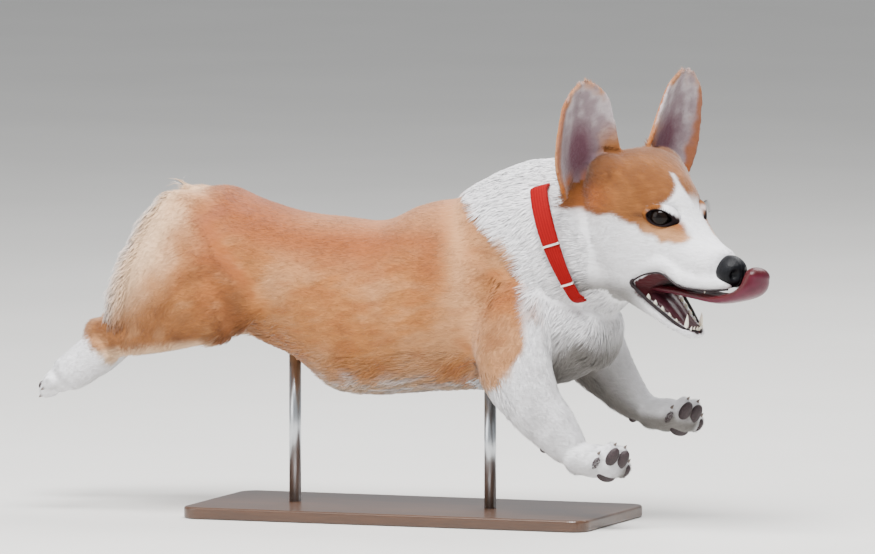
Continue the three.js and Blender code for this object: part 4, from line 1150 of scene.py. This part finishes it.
def hair_plan(p, n, number, along, angle, inside):
    """For points of the skin: length, width, lift and lie of the hair, and tufts per square centimetre."""
    count = len(p)
    length = np.full(count, 13.0)
    lift = np.full(count, 0.13)
    lie = np.tile([-1.0, 0, -0.18], (count, 1))
    x, y, z = p.T
    h = to_head(p)

    def comb(mine, long, rise=None, way=None):
        for plan, value in ((length, long), (lift, rise), (lie, way)):
            if value is not None:
                plan[mine] = np.broadcast_to(value, plan.shape)[mine]

    def between(first, last, amount):
        return np.array(first) * (1 - amount[:, None]) + np.array(last) * amount[:, None]

    low = share(-n[:, 2], 0.25, 0.85)
    down = -0.14 - 0.4 * low - 0.26 * share(x, 40, 130)
    mine = of_region(number, "trunk")
    comb(mine, 9 + 8 * low, 0.1 + 0.06 * low, np.stack([-np.ones(count), np.zeros(count), down], axis=1))
    comb(mine & (x > 125) & (z < 50), 14, 0.11, (-0.6, 0, -0.85))
    ruff = ruff_share(x, z)
    comb(of_region(number, "neck"), 9 + 6 * ruff, 0.1 + 0.02 * ruff, (-0.9, 0, -0.45))
    comb(of_region(number, "tail"), 16, 0.3, (-0.7, 0, 0.6))

    rear = share(-n[:, 0], 0.05, 0.85)
    low = share(-n[:, 2], 0.2, 0.8)
    for name in SIDES:
        mine = of_region(number, f"foreleg_{name}")
        leg_way = limbs[f"foreleg_{name}"].rings(along)[1]
        comb(mine, np.interp(along, [0, 0.35, 0.6, 1], [9, 8.5, 7, 5.5]), None,
             between((-0.9, 0, -0.4), leg_way, share(along, 0.05, 0.5)))
        fringe = mine & (np.sin(angle) < -0.6) & (z < -60)
        comb(fringe, np.interp(along, [0, 0.4, 0.7, 1], [10, 13, 9, 6]), 0.15)
        comb(of_region(number, f"thigh_{name}"), 9 + 8 * rear, 0.1 + 0.2 * rear,
             between((-1, 0, -0.16), (-0.42, 0, -0.9), share(-x, 160, 240)))
        comb(of_region(number, f"shank_{name}"), 8 + 5 * low, 0.11 + 0.05 * low, (-0.97, 0, -0.2))
        for foot, (hair, way) in FEET_HAIR.items():
            comb(of_region(number, f"{foot}_{name}"), hair, None, way)

    back = share(-h[:, 0], 10, 85)
    cheek = share(-h[:, 2], 0, 50)
    local = np.stack([-np.ones(count), 0.25 * np.sign(h[:, 1]), np.where(h[:, 2] > 0, 0.25, -0.35)], axis=1)
    head_length = 4 + 4.5 * back + 5 * back * cheek
    comb(of_region(number, "head"), head_length, 0.11 + 0.03 * back, local @ HEAD_AXES.T)
    for name, side in SIDES.items():
        mine = of_region(number, f"ear_{name}")
        _, rise, outward, _ = ear_frame(side)
        u = ear_place(h, side)[0]
        comb(mine, 3.2, 0.08, (unit(rise) - outward * (0.3 * u)[:, None]) @ HEAD_AXES.T)
        comb(mine & inside, np.interp(along, [0, 0.5, 1], [7, 5, 3]) * share(1.1 - np.abs(u), 0, 0.5) + 2)

    # the collar presses the coat flat: none under the strap, and short before it
    row, axis, _, above = neck.rings(np.array([COLLAR_PLACE]))
    arm = p - row[0, :3]
    sine = (arm @ above[0]) / np.maximum(np.linalg.norm(arm, axis=1), 1)
    before = arm @ axis[0] - strap_lean(sine)
    edge = strap_width(sine) / 2
    strapped = of_region(number, "neck", "trunk", "head") & (z > -4) & (z < 126) & (x > 120)
    pressed = 4 + 5 * share(-z, -70, 0) + 0.75 * (before - edge)
    comb(strapped & (before > edge - 1) & (before < 34), np.minimum(length, pressed))

    width = np.clip(length * 0.075, 0.6, 1.3)
    cover = np.where(length < SHORT_BELOW, SHORT_COVER, LONG_COVER)
    density = np.clip(cover / (length * width), *COVER_LIMITS)
    bare = strapped & (np.abs(before) < edge - 1)
    bare |= in_mouth(h) & of_region(number, "head")
    bare |= np.linalg.norm((h - NOSE_PLACE) / (np.array(NOSE_SIZE) / 2 + 1), axis=1) < 1
    bare |= in_socket(h, 16.4, 10.8)
    density[bare] = 0
    return length, width, lift, unit(lie), density


TUFT_SINK = 1
TUFT_CURL = 1 / 260


def grow_tufts(p, n, length, width, lift, lie):
    """Corner points of all tufts: two rings of three and a tip for each."""
    count = len(p)
    flow = unit(lie - n * dot(lie, n))
    loose = share(length, 8, 20)
    swing = (0.16 + 0.2 * loose) * ripple(p, 26) + (0.1 + 0.16 * loose) * ripple(p, 9)
    swing = (swing + rng.normal(0, 0.12, count))[:, None]
    flow = unit(flow * np.cos(swing) + np.cross(n, flow) * np.sin(swing))
    side = np.cross(n, flow)
    length = length * rng.uniform(0.72, 1.2, count) * (1 + 0.14 * ripple(p, 14))
    width = width * rng.uniform(0.75, 1.25, count)
    lift = lift * rng.uniform(0.55, 1.5, count)
    root = p - n * TUFT_SINK
    middle = p + flow * (length * 0.5)[:, None] + n * (length * lift * 0.75)[:, None]
    tip = p + flow * length[:, None] + n * (length * lift - length**2 * TUFT_CURL)[:, None]
    half = side * (width * 0.5)[:, None]
    ridge = n * (width * 0.28)[:, None]
    rings = [corner for place in (root, middle) for corner in (place - half, place + half, place + ridge)]
    return np.stack([*rings, tip], axis=1)


# A long tuft bends at a middle ring of three corners; a short one runs straight from its root ring to its tip
LONG_TUFT = {
    "corners": [0, 1, 2, 3, 4, 5, 6],
    "faces": [
        [0, 1, 4], [0, 4, 3], [1, 2, 5], [1, 5, 4], [2, 0, 3], [2, 3, 5],
        [3, 4, 6], [4, 5, 6], [5, 3, 6], [0, 2, 1],
    ],
    "rise": [0, 0, 0, 0.5, 0.5, 0.5, 1],
    "across": [-1, 1, 0, -0.6, 0.6, 0, 0],
}
SHORT_TUFT = {
    "corners": [0, 1, 2, 6],
    "faces": [[0, 1, 3], [1, 2, 3], [2, 0, 3], [0, 2, 1]],
    "rise": [0, 0, 0, 1],
    "across": [-1, 1, 0, 0],
}
# Side of a tuft's own patch on the unwrap, and the most triangles of a piece
PATCH = 0.003
PIECE_TRIANGLES = 190000


def coat_piece(name, corners, tones, unwrap, way, kind):
    """One coat piece: a painted mesh of many tufts, with a small patch of the unwrap for each."""
    corners = corners[:, kind["corners"]]
    count, each = corners.shape[:2]
    rise, across = np.array(kind["rise"]), np.array(kind["across"])
    mesh = bpy.data.meshes.new(name)
    mesh.vertices.add(count * each)
    mesh.vertices.foreach_set("co", world(corners.reshape(-1, 3)).astype(np.float32).ravel())
    faces = (np.array(kind["faces"])[None] + np.arange(count)[:, None, None] * each).reshape(-1, 3)
    mesh.loops.add(len(faces) * 3)
    mesh.loops.foreach_set("vertex_index", faces.ravel().astype(np.int32))
    mesh.polygons.add(len(faces))
    mesh.polygons.foreach_set("loop_start", np.arange(0, len(faces) * 3, 3, dtype=np.int32))
    mesh.update(calc_edges=True)
    mesh.polygons.foreach_set("use_smooth", [True] * len(faces))
    leaning = unit(way[:, None, :] + rng.normal(0, 0.2, (count, 1, 3)))
    mesh.normals_split_custom_set_from_vertices(np.repeat(leaning, each, axis=1).reshape(-1, 3).tolist())
    mix = rng.uniform(0.82, 1.1, count)[:, None, None]
    # painted shade: each tuft darker at its root, where the tufts shade each other
    depth = (0.9 + 0.14 * rise)[None, :, None]
    paint(mesh, np.clip(tones[:, None, :] * depth * mix, 0, 1).reshape(-1, 3))
    place = np.repeat(unwrap[:, None, :], each, axis=1)
    place[:, :, 0] += across * PATCH / 2
    place[:, :, 1] += (rise - 0.5) * PATCH
    layer = mesh.uv_layers.new(name="OFBake")
    layer.data.foreach_set("uv", place.reshape(-1, 2)[faces.ravel()].astype(np.float32).ravel())
    finished(name, mesh, HAIR, "coat_tan")


def scatter(points, normals, triangles):
    """Random root places all over the skin, as many as each region's hair asks for."""
    corner = points[triangles]
    normal_at = normals[triangles]
    centre = corner.mean(axis=1)
    n = unit(normal_at.mean(axis=1))
    area = np.linalg.norm(np.cross(corner[:, 1] - corner[:, 0], corner[:, 2] - corner[:, 0]), axis=1) / 2
    number, along, angle, inside = region_of(centre)
    density = hair_plan(centre, n, number, along, angle, inside)[4]
    chosen = np.repeat(np.arange(len(triangles)), rng.poisson(density * area / 100 * TUFT_SHARE))
    a, b = rng.uniform(size=(2, len(chosen)))
    flip = a + b > 1
    a[flip], b[flip] = 1 - a[flip], 1 - b[flip]
    weights = np.stack([1 - a - b, a, b], axis=1)[:, :, None]
    places, ways = ((rows[chosen] * weights).sum(axis=1) for rows in (corner, normal_at))
    return places, unit(ways), number[chosen], along[chosen], angle[chosen], inside[chosen]


roots, root_normals, number, along, angle, inside = scatter(points, normals, triangles)
lengths, *plan, _ = hair_plan(roots, root_normals, number, along, angle, inside)
corners = grow_tufts(roots, root_normals, lengths, *plan)
tones = coat_colour(roots, root_normals, number, inside)
unwrap = 0.02 + 0.96 * np.stack([(angle / ROUND) % 1, along], axis=1)
kinds = [("short", SHORT_TUFT, lengths < SHORT_BELOW), ("long", LONG_TUFT, lengths >= SHORT_BELOW)]
for index, region in enumerate(REGIONS):
    for kind, shape, fits in kinds:
        mine = np.flatnonzero((number == index) & fits)
        parts = math.ceil(len(mine) * len(shape["faces"]) / PIECE_TRIANGLES)
        for k in range(parts):
            own = mine[k::parts]
            name = f"coat_{region}_{kind}_{k + 1}"
            coat_piece(name, corners[own], tones[own], unwrap[own], root_normals[own], shape)


# Eyes and lids

def painted_piece(name, bm, tones, material, slot, *nodes):
    """A piece of the head from its own frame, with its colours painted on."""
    mesh = mesh_of(in_head(bm), name)
    paint(mesh, tones)
    finished(name, mesh, material, slot, *nodes)


# Pupil, iris and the dark ring round it, with how far each reaches from the eye's axis
PUPIL, IRIS, IRIS_RING = colour("#050404"), colour("#140A05"), colour("#0C0807")
PUPIL_EDGE = (3.6, 4.6)
IRIS_EDGE = (7.4, 8.6)


def make_eye(name, side):
    middle, out, level, upward = eye_frame(side)
    bm = ball_mesh(middle, (EYE_RADIUS,) * 3, turned(level, upward, out), 48, 32)
    gap = places_of(bm) - np.array(middle)
    away = np.linalg.norm(gap - np.outer(gap @ np.array(out), np.array(out)), axis=1)
    tones = laid(plain(PUPIL, gap), IRIS, share(away, *PUPIL_EDGE))
    painted_piece(name, bm, laid(tones, IRIS_RING, share(away, *IRIS_EDGE)), eye_shine, "eye", name)


# The lid's section from the eyeball out to the fur: reach from the opening's middle and rise over its plane
LID_SECTION = [
    (0.87, 0), (0.91, 0.7), (0.96, 1.2), (1.02, 1.3), (1.12, 0.9), (1.28, -0.5), (1.46, -3.2), (1.64, -7),
]
# Half width of the opening, and its heights above and below the middle
LID_OPENING = (13.6, 9, 7.8)
LID_BOW = 1.6
LASH_SHAPE = (5, 0.3, 0, 1)


def make_lids(name, side):
    """Lids: a dark wet rim round an almond opening, and a fold of fur that dips into the socket."""
    middle, out, level, upward = eye_frame(side)
    bm = bmesh.new()
    last = len(LID_SECTION) - 1
    bmesh.ops.create_grid(bm, x_segments=64, y_segments=last, size=1)
    wide, over, under = LID_OPENING
    for vertex in bm.verts:
        turn = (vertex.co.x + 1) / 2 * ROUND
        reach, rise = LID_SECTION[round((vertex.co.y + 1) / 2 * last)]
        sine = math.sin(turn)
        a = math.cos(turn) * wide
        b = sine * (over if sine > 0 else under) * abs(sine) ** 0.45
        over_ball = math.sqrt(max(EYE_RADIUS**2 - (a * a + b * b) * reach * reach, 0)) + 0.3
        free = float(share(reach, 0.78, 1.04))
        height = over_ball + (LID_PLANE + rise + LID_BOW * sine**2 * (1.7 - reach) - over_ball) * free
        vertex.co = middle + level * a * reach + upward * b * reach + out * height
    bmesh.ops.remove_doubles(bm, verts=bm.verts, dist=0.01)
    bmesh.ops.recalc_face_normals(bm, faces=bm.faces)
    bmesh.ops.solidify(bm, geom=bm.faces[:], thickness=0.5)
    co = places_of(bm)
    across, up = ((co - np.array(middle)) @ np.array(way) for way in (level, upward))
    reach = np.hypot(across / wide, up / (over + under) * 2)
    towards_nose = np.clip(across / (wide * np.maximum(reach, 0.1)), 0, 1) ** 4
    tones = laid(plain(BLACK, co), head_colour(co), share(reach - 0.45 * towards_nose, 0.99, 1.1))
    painted_piece(f"lids_{name}", bm, tones, LID_SKIN, "coat_tan")


def make_lashes(name, side):
    """Upper lashes: short dark hairs that stand out along the lid's crest."""
    middle, out, level, upward = eye_frame(side)
    lashes = []
    wide, over, _ = LID_OPENING
    for turn in np.linspace(0.5, 2.5, 13):
        root = middle + level * math.cos(turn) * wide + upward * math.sin(turn) ** 1.3 * over
        root += out * (LID_PLANE + 2.4)
        way = (out * 0.8 + upward * 0.75 + level * math.cos(turn) * 0.5).normalized()
        lash = tooth(*LASH_SHAPE)
        lash.transform(Matrix.Translation(root) @ way.to_track_quat("Z", "Y").to_matrix().to_4x4())
        lashes.append(lash)
    bm = joined(lashes)
    painted_piece(f"lashes_{name}", bm, plain(BLACK, bm.verts), LID_SKIN, "coat_tan")


eye_shine = eye_material()


# Nose

def make_nose():
    """Nose leather: a rounded block with a groove down its middle and a comma of a nostril on each side."""
    bm = ball_mesh(NOSE_PLACE, [v / 2 for v in NOSE_SIZE], sides=64, rows=48)
    for vertex in bm.verts:
        x, y, z = vertex.co - Vector(NOSE_PLACE)
        push = 0
        if x > 0:
            push -= 2.2 * math.exp(-((y / 1.6) ** 2)) * (1 if z < 6 else 0.4)
            for side in (RIGHT, LEFT):
                near = ((y - side * 8.2) / 3.6) ** 2 + ((z - 1 + 0.35 * side * (y - side * 8)) / 4.4) ** 2
                wing = ((y - side * 12) / 3) ** 2 + ((z + 3) / 5) ** 2
                push += math.exp(-wing) - 7.5 * math.exp(-near)
        vertex.co.x += push
        vertex.co.z += 1.5 * math.exp(-((y / 9) ** 2)) * (1 if z > 8 else 0)
    in_head(bm)
    finished("nose", mesh_of(bm, "nose"), NOSE_LEATHER, "nose_leather", "nose")


make_nose()


# Mouth: lips, tongue and teeth

def make_lips():
    """Dark rims of the upper and lower lips, joined at the corners of the mouth."""
    parts = []
    for side in SIDES.values():
        paths = (UPPER_LIP, LOWER_LIP, [LIP_CORNER])
        upper, lower, corner = ([(x, side * y, z) for x, y, z in path] for path in paths)
        parts.append(tube(upper, [(1.0, 1.0)] * len(upper)))
        parts.append(tube(lower, [(1.4, 2.0)] * len(lower)))
        parts.append(tube([upper[0], *corner, lower[0]], [(1.5, 1.8), (1.8, 2.4), (1.7, 2.4)], steps=5))
    finished("lips", mesh_of(in_head(joined(parts)), "lips"), LIP_SKIN, "mouth")


def furrow(angle, depth, width):
    """A lengthwise groove along the top of a form."""
    return -depth * np.exp(-((angle - math.pi / 2) / width) ** 2)


def tongue_groove(s, angle):
    return furrow(angle, 2.2, 0.32) * share(s, 0.05, 0.3) * share(1 - s, 0.02, 0.2)


def make_tongue():
    """Tongue: long and flat with a groove down its middle, curled up at its thick tip."""
    bm = body_mesh(Form(TONGUE, rounding=(0, 9), fullness=2.2), 48, 70, tongue_groove)
    bm.normal_update()
    co = places_of(bm)
    top = share(np.array([v.normal for v in bm.verts]) @ np.array([-0.5, 0, 0.85]), -0.3, 0.5)
    tones = laid(plain(colour("#460A12"), co), colour("#5C1A30"), top)
    # painted shade: darker towards the back of the tongue, inside the mouth
    tones = laid(tones, colour("#3A0C12"), share(-co[:, 0], -80, 10) * 0.7)
    painted_piece("tongue", bm, tones, TONGUE_FLESH, "tongue", "tongue")


def tooth(length, radius, lean, hook):
    """One tooth: a cone drawn to a point and hooked back."""
    bm = bmesh.new()
    bmesh.ops.create_uvsphere(bm, u_segments=14, v_segments=12, radius=1)
    for vertex in bm.verts:
        x, y, z = vertex.co
        t = (z + 1) / 2
        thin = radius * (1 - 0.75 * t**1.6)
        vertex.co = Vector((x * thin - hook * t * t + lean * t, y * 0.8 * thin, length * t))
    bmesh.ops.recalc_face_normals(bm, faces=bm.faces)
    return bm


def make_mouth_bed():
    """The bed of the tongue: wet flesh that fills the lower jaw between the rows of teeth."""
    form = Form(MOUTH_BED, rounding=(3, 4), fullness=2)
    bm = in_head(body_mesh(form, 32, 40, lambda s, angle: furrow(angle, 2.5, 0.3)))
    finished("mouth_bed", mesh_of(bm, "mouth_bed"), GUM_FLESH, "mouth")


def make_teeth():
    parts = []
    hanging = Matrix.Rotation(math.pi, 4, "X")
    for side in SIDES.values():
        for rows, hang in ((LOWER_TEETH, Matrix.Identity(4)), (UPPER_TEETH, hanging)):
            for place, step, count, *shape in rows:
                for k in range(count):
                    x, y, z = (v + k * d for v, d in zip(place, step))
                    parts.append(tooth(*shape))
                    parts[-1].transform(Matrix.Translation((x, side * y, z)) @ hang)
    finished("teeth", mesh_of(in_head(joined(parts)), "teeth"), ENAMEL, "mouth")


make_lips()
make_tongue()
make_mouth_bed()
make_teeth()
for name, side in SIDES.items():
    make_eye(f"eye_{name}", side)
    make_lids(name, side)
    make_lashes(name, side)


# Claws and pads

CLAW_TURN = 128
CLAW_SHAPE = (6, 2.1, 0, 2)
HIND_PAD_SHARE = 0.6
OUTER_PAD_SHARE = 0.8
CARPAL_PAD_RADII = (4.5, 5, 4.5)


def make_feet():
    """Claws at the toes' tips, a pad under each toe and heel, and one behind each wrist."""
    claws, pads = [], []
    for place, group in toes.items():
        part = 1 if place.startswith("fore") else HIND_PAD_SHARE
        longest = max(g[2] for g in group)
        for toe, turn, length, width, height in group:
            tip = toe + turn @ Vector((length * 0.175, 0, -height * 0.02))
            droop = Matrix.Rotation(math.radians(CLAW_TURN), 4, "Y")
            claws.append(tooth(*CLAW_SHAPE))
            claws[-1].transform(Matrix.Translation(tip) @ turn.to_4x4() @ droop)
            outer = length < longest
            pad = toe + turn @ Vector((length * 0.01, 0, -height * (0.2 if outer else 0.26)))
            size = part * (OUTER_PAD_SHARE if outer else 1)
            pads.append(ball_mesh(pad, (length * 0.2 * size, width * 0.15 * size, height * 0.16), turn))
        heel = sum((g[0] for g in group), Vector()) / 4 + turn @ Vector((-length * 0.34, 0, -height * 0.22))
        pads.append(ball_mesh(heel, (length * 0.15 * part, width * 0.32 * part, height * 0.2), turn))
    for name in SIDES:
        wrist = limbs[f"foreleg_{name}"].points(np.array([0.9]), np.array([-1.57]), 0.9)[0]
        pads.append(ball_mesh(wrist, CARPAL_PAD_RADII))
    finished("claws", mesh_of(joined(claws), "claws"), HORN, "nose_leather")
    finished("pads", mesh_of(joined(pads), "pads"), PAD_LEATHER, "nose_leather")


make_feet()


# Collar and keepers

# The strap's squareness and depth in the neck, and how it sinks in the coat above and below
STRAP_SQUARENESS = 0.35
STRAP_DEPTH = 3
SINK_ABOVE = 14
SINK_BELOW = 13
KEEPER_WIDTH = 2.4


def neck_surface(angle, push, lift):
    """Points beside the collar's middle line on the neck: push ahead of it and lift over the neck."""
    form = Form(NECK, rounding=(0, 12), fullness=2.1)
    count = len(angle)
    return form.points(np.full(count, COLLAR_PLACE), angle, 1.0, push + strap_lean(np.sin(angle)), lift - 1.5)


def make_collar():
    """The strap: a webbing band of rounded section round the neck, sunk in the coat over its top."""
    turns, around = 160, 12
    bm = bmesh.new()
    bmesh.ops.create_grid(bm, x_segments=turns, y_segments=around, size=1)
    angle, corner = ((v + 1) / 2 * ROUND for v in places_of(bm).T[:2])
    push = bent(np.cos(corner), STRAP_SQUARENESS) * strap_width(np.sin(angle)) / 2
    lift = np.where(np.sin(corner) > 0, COLLAR_THICKNESS, -STRAP_DEPTH)
    lift *= np.abs(bent(np.sin(corner), STRAP_SQUARENESS))
    lift -= SINK_ABOVE * share(np.sin(angle), 0.6, 0.8) + SINK_BELOW * share(-np.sin(angle), 0.62, 0.86)
    layer = bm.loops.layers.uv.new("strap")
    for face in bm.faces:
        for loop in face.loops:
            loop[layer].uv = ((loop.vert.co.x + 1) / 2, (loop.vert.co.y + 1) / 2)
    moved(bm, neck_surface(angle, push, lift))
    bmesh.ops.remove_doubles(bm, verts=bm.verts, dist=0.01)
    bmesh.ops.recalc_face_normals(bm, faces=bm.faces)
    finished("collar", mesh_of(bm, "collar"), strap_material(), "collar_strap", "collar")


def make_keeper(number, angle):
    """A keeper: a flat band of pale metal with rounded edges, over the strap."""
    bm = bmesh.new()
    bmesh.ops.create_cube(bm, size=1)
    bmesh.ops.bevel(bm, geom=bm.edges[:], offset=0.2, affect="EDGES", segments=3, profile=0.5, material=-1)
    spot, ahead = neck_surface(np.radians([angle, angle + 3]), np.zeros(2), COLLAR_THICKNESS / 2)
    run = Vector(ahead - spot).normalized()
    along = Vector(Form(NECK).rings(np.array([COLLAR_PLACE]))[1][0])
    turn = turned(run, along, run.cross(along).normalized()).to_4x4()
    across = strap_width(math.sin(math.radians(angle))) + 2.5
    size = Matrix.Diagonal((KEEPER_WIDTH, across, COLLAR_THICKNESS + 2.2, 1))
    bm.transform(Matrix.Translation(spot) @ turn @ size)
    bmesh.ops.recalc_face_normals(bm, faces=bm.faces)
    name = f"collar_keeper_{number}"
    finished(name, mesh_of(bm, name), KEEPER_METAL, "collar_metal", name)


make_collar()
for k, place in enumerate(KEEPER_ANGLES):
    make_keeper(k + 1, place)


# Stand

def make_base():
    """The base board: its edges eased as a board's are."""
    bm = bmesh.new()
    bm.from_mesh(frame["nodes"]["stand_base"].data)
    bmesh.ops.remove_doubles(bm, verts=bm.verts, dist=1e-5)
    bmesh.ops.dissolve_limit(bm, angle_limit=math.radians(2), verts=bm.verts, edges=bm.edges)
    rim = [e for e in bm.edges if e.calc_face_angle(0) > math.radians(60)]
    bmesh.ops.bevel(bm, geom=rim, offset=2.5 * MM, affect="EDGES", segments=4, profile=0.5, material=-1)
    mesh = metre_mesh(bm, "stand_base_board")
    finished("stand_base_board", mesh, wood_material(), "stand_wood", "stand_base")


def make_rods():
    """Round steel rods between the base and the body."""
    for name in ("stand_rod_front", "stand_rod_rear"):
        low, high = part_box(name)
        radius = (high.x - low.x) / 2
        bm = bmesh.new()
        depth = high.z - low.z
        bmesh.ops.create_cone(bm, cap_ends=True, segments=64, radius1=radius, radius2=radius, depth=depth)
        bmesh.ops.translate(bm, verts=bm.verts, vec=(low + high) / 2)
        mesh = metre_mesh(bm, f"{name}_steel")
        mesh.polygons.foreach_set("use_smooth", [len(p.vertices) == 4 for p in mesh.polygons])
        finished(f"{name}_steel", mesh, ROD_STEEL, "stand_steel", name)


make_base()
make_rods()


# Studio: a pale floor and soft light from above and in front

# Lamps: name, place and size in metres, power in watts
LAMPS = [
    ("key", (0.3, -1.3, 3.0), 1.8, 300),
    ("fill", (-2.2, -1.9, 1.4), 2.4, 55),
    ("back", (0.6, 2.0, 2.6), 2.2, 110),
]
LAMP_TARGET = (0.05, 0, 0.25)
SKY_STRENGTH = 0.6


def make_studio():
    bm = bmesh.new()
    bmesh.ops.create_grid(bm, x_segments=1, y_segments=1, size=60)
    mesh = metre_mesh(bm, "floor")
    mesh.materials.append(FLOOR)
    shown("floor", mesh)
    scene_world = bpy.data.worlds.new("studio")
    scene_world.use_nodes = True
    sky = scene_world.node_tree.nodes["Background"]
    sky.inputs["Color"].default_value = rgba("#E9ECF0")
    sky.inputs["Strength"].default_value = SKY_STRENGTH
    bpy.context.scene.world = scene_world
    for name, place, size, power in LAMPS:
        light = bpy.data.lights.new(name, "AREA")
        light.size = size
        light.energy = power
        lamp = bpy.data.objects.new(name, light)
        lamp.location = place
        lamp.rotation_mode = "QUATERNION"
        lamp.rotation_quaternion = (Vector(LAMP_TARGET) - Vector(place)).to_track_quat("-Z", "Y")
        bpy.context.scene.collection.objects.link(lamp)


make_studio()
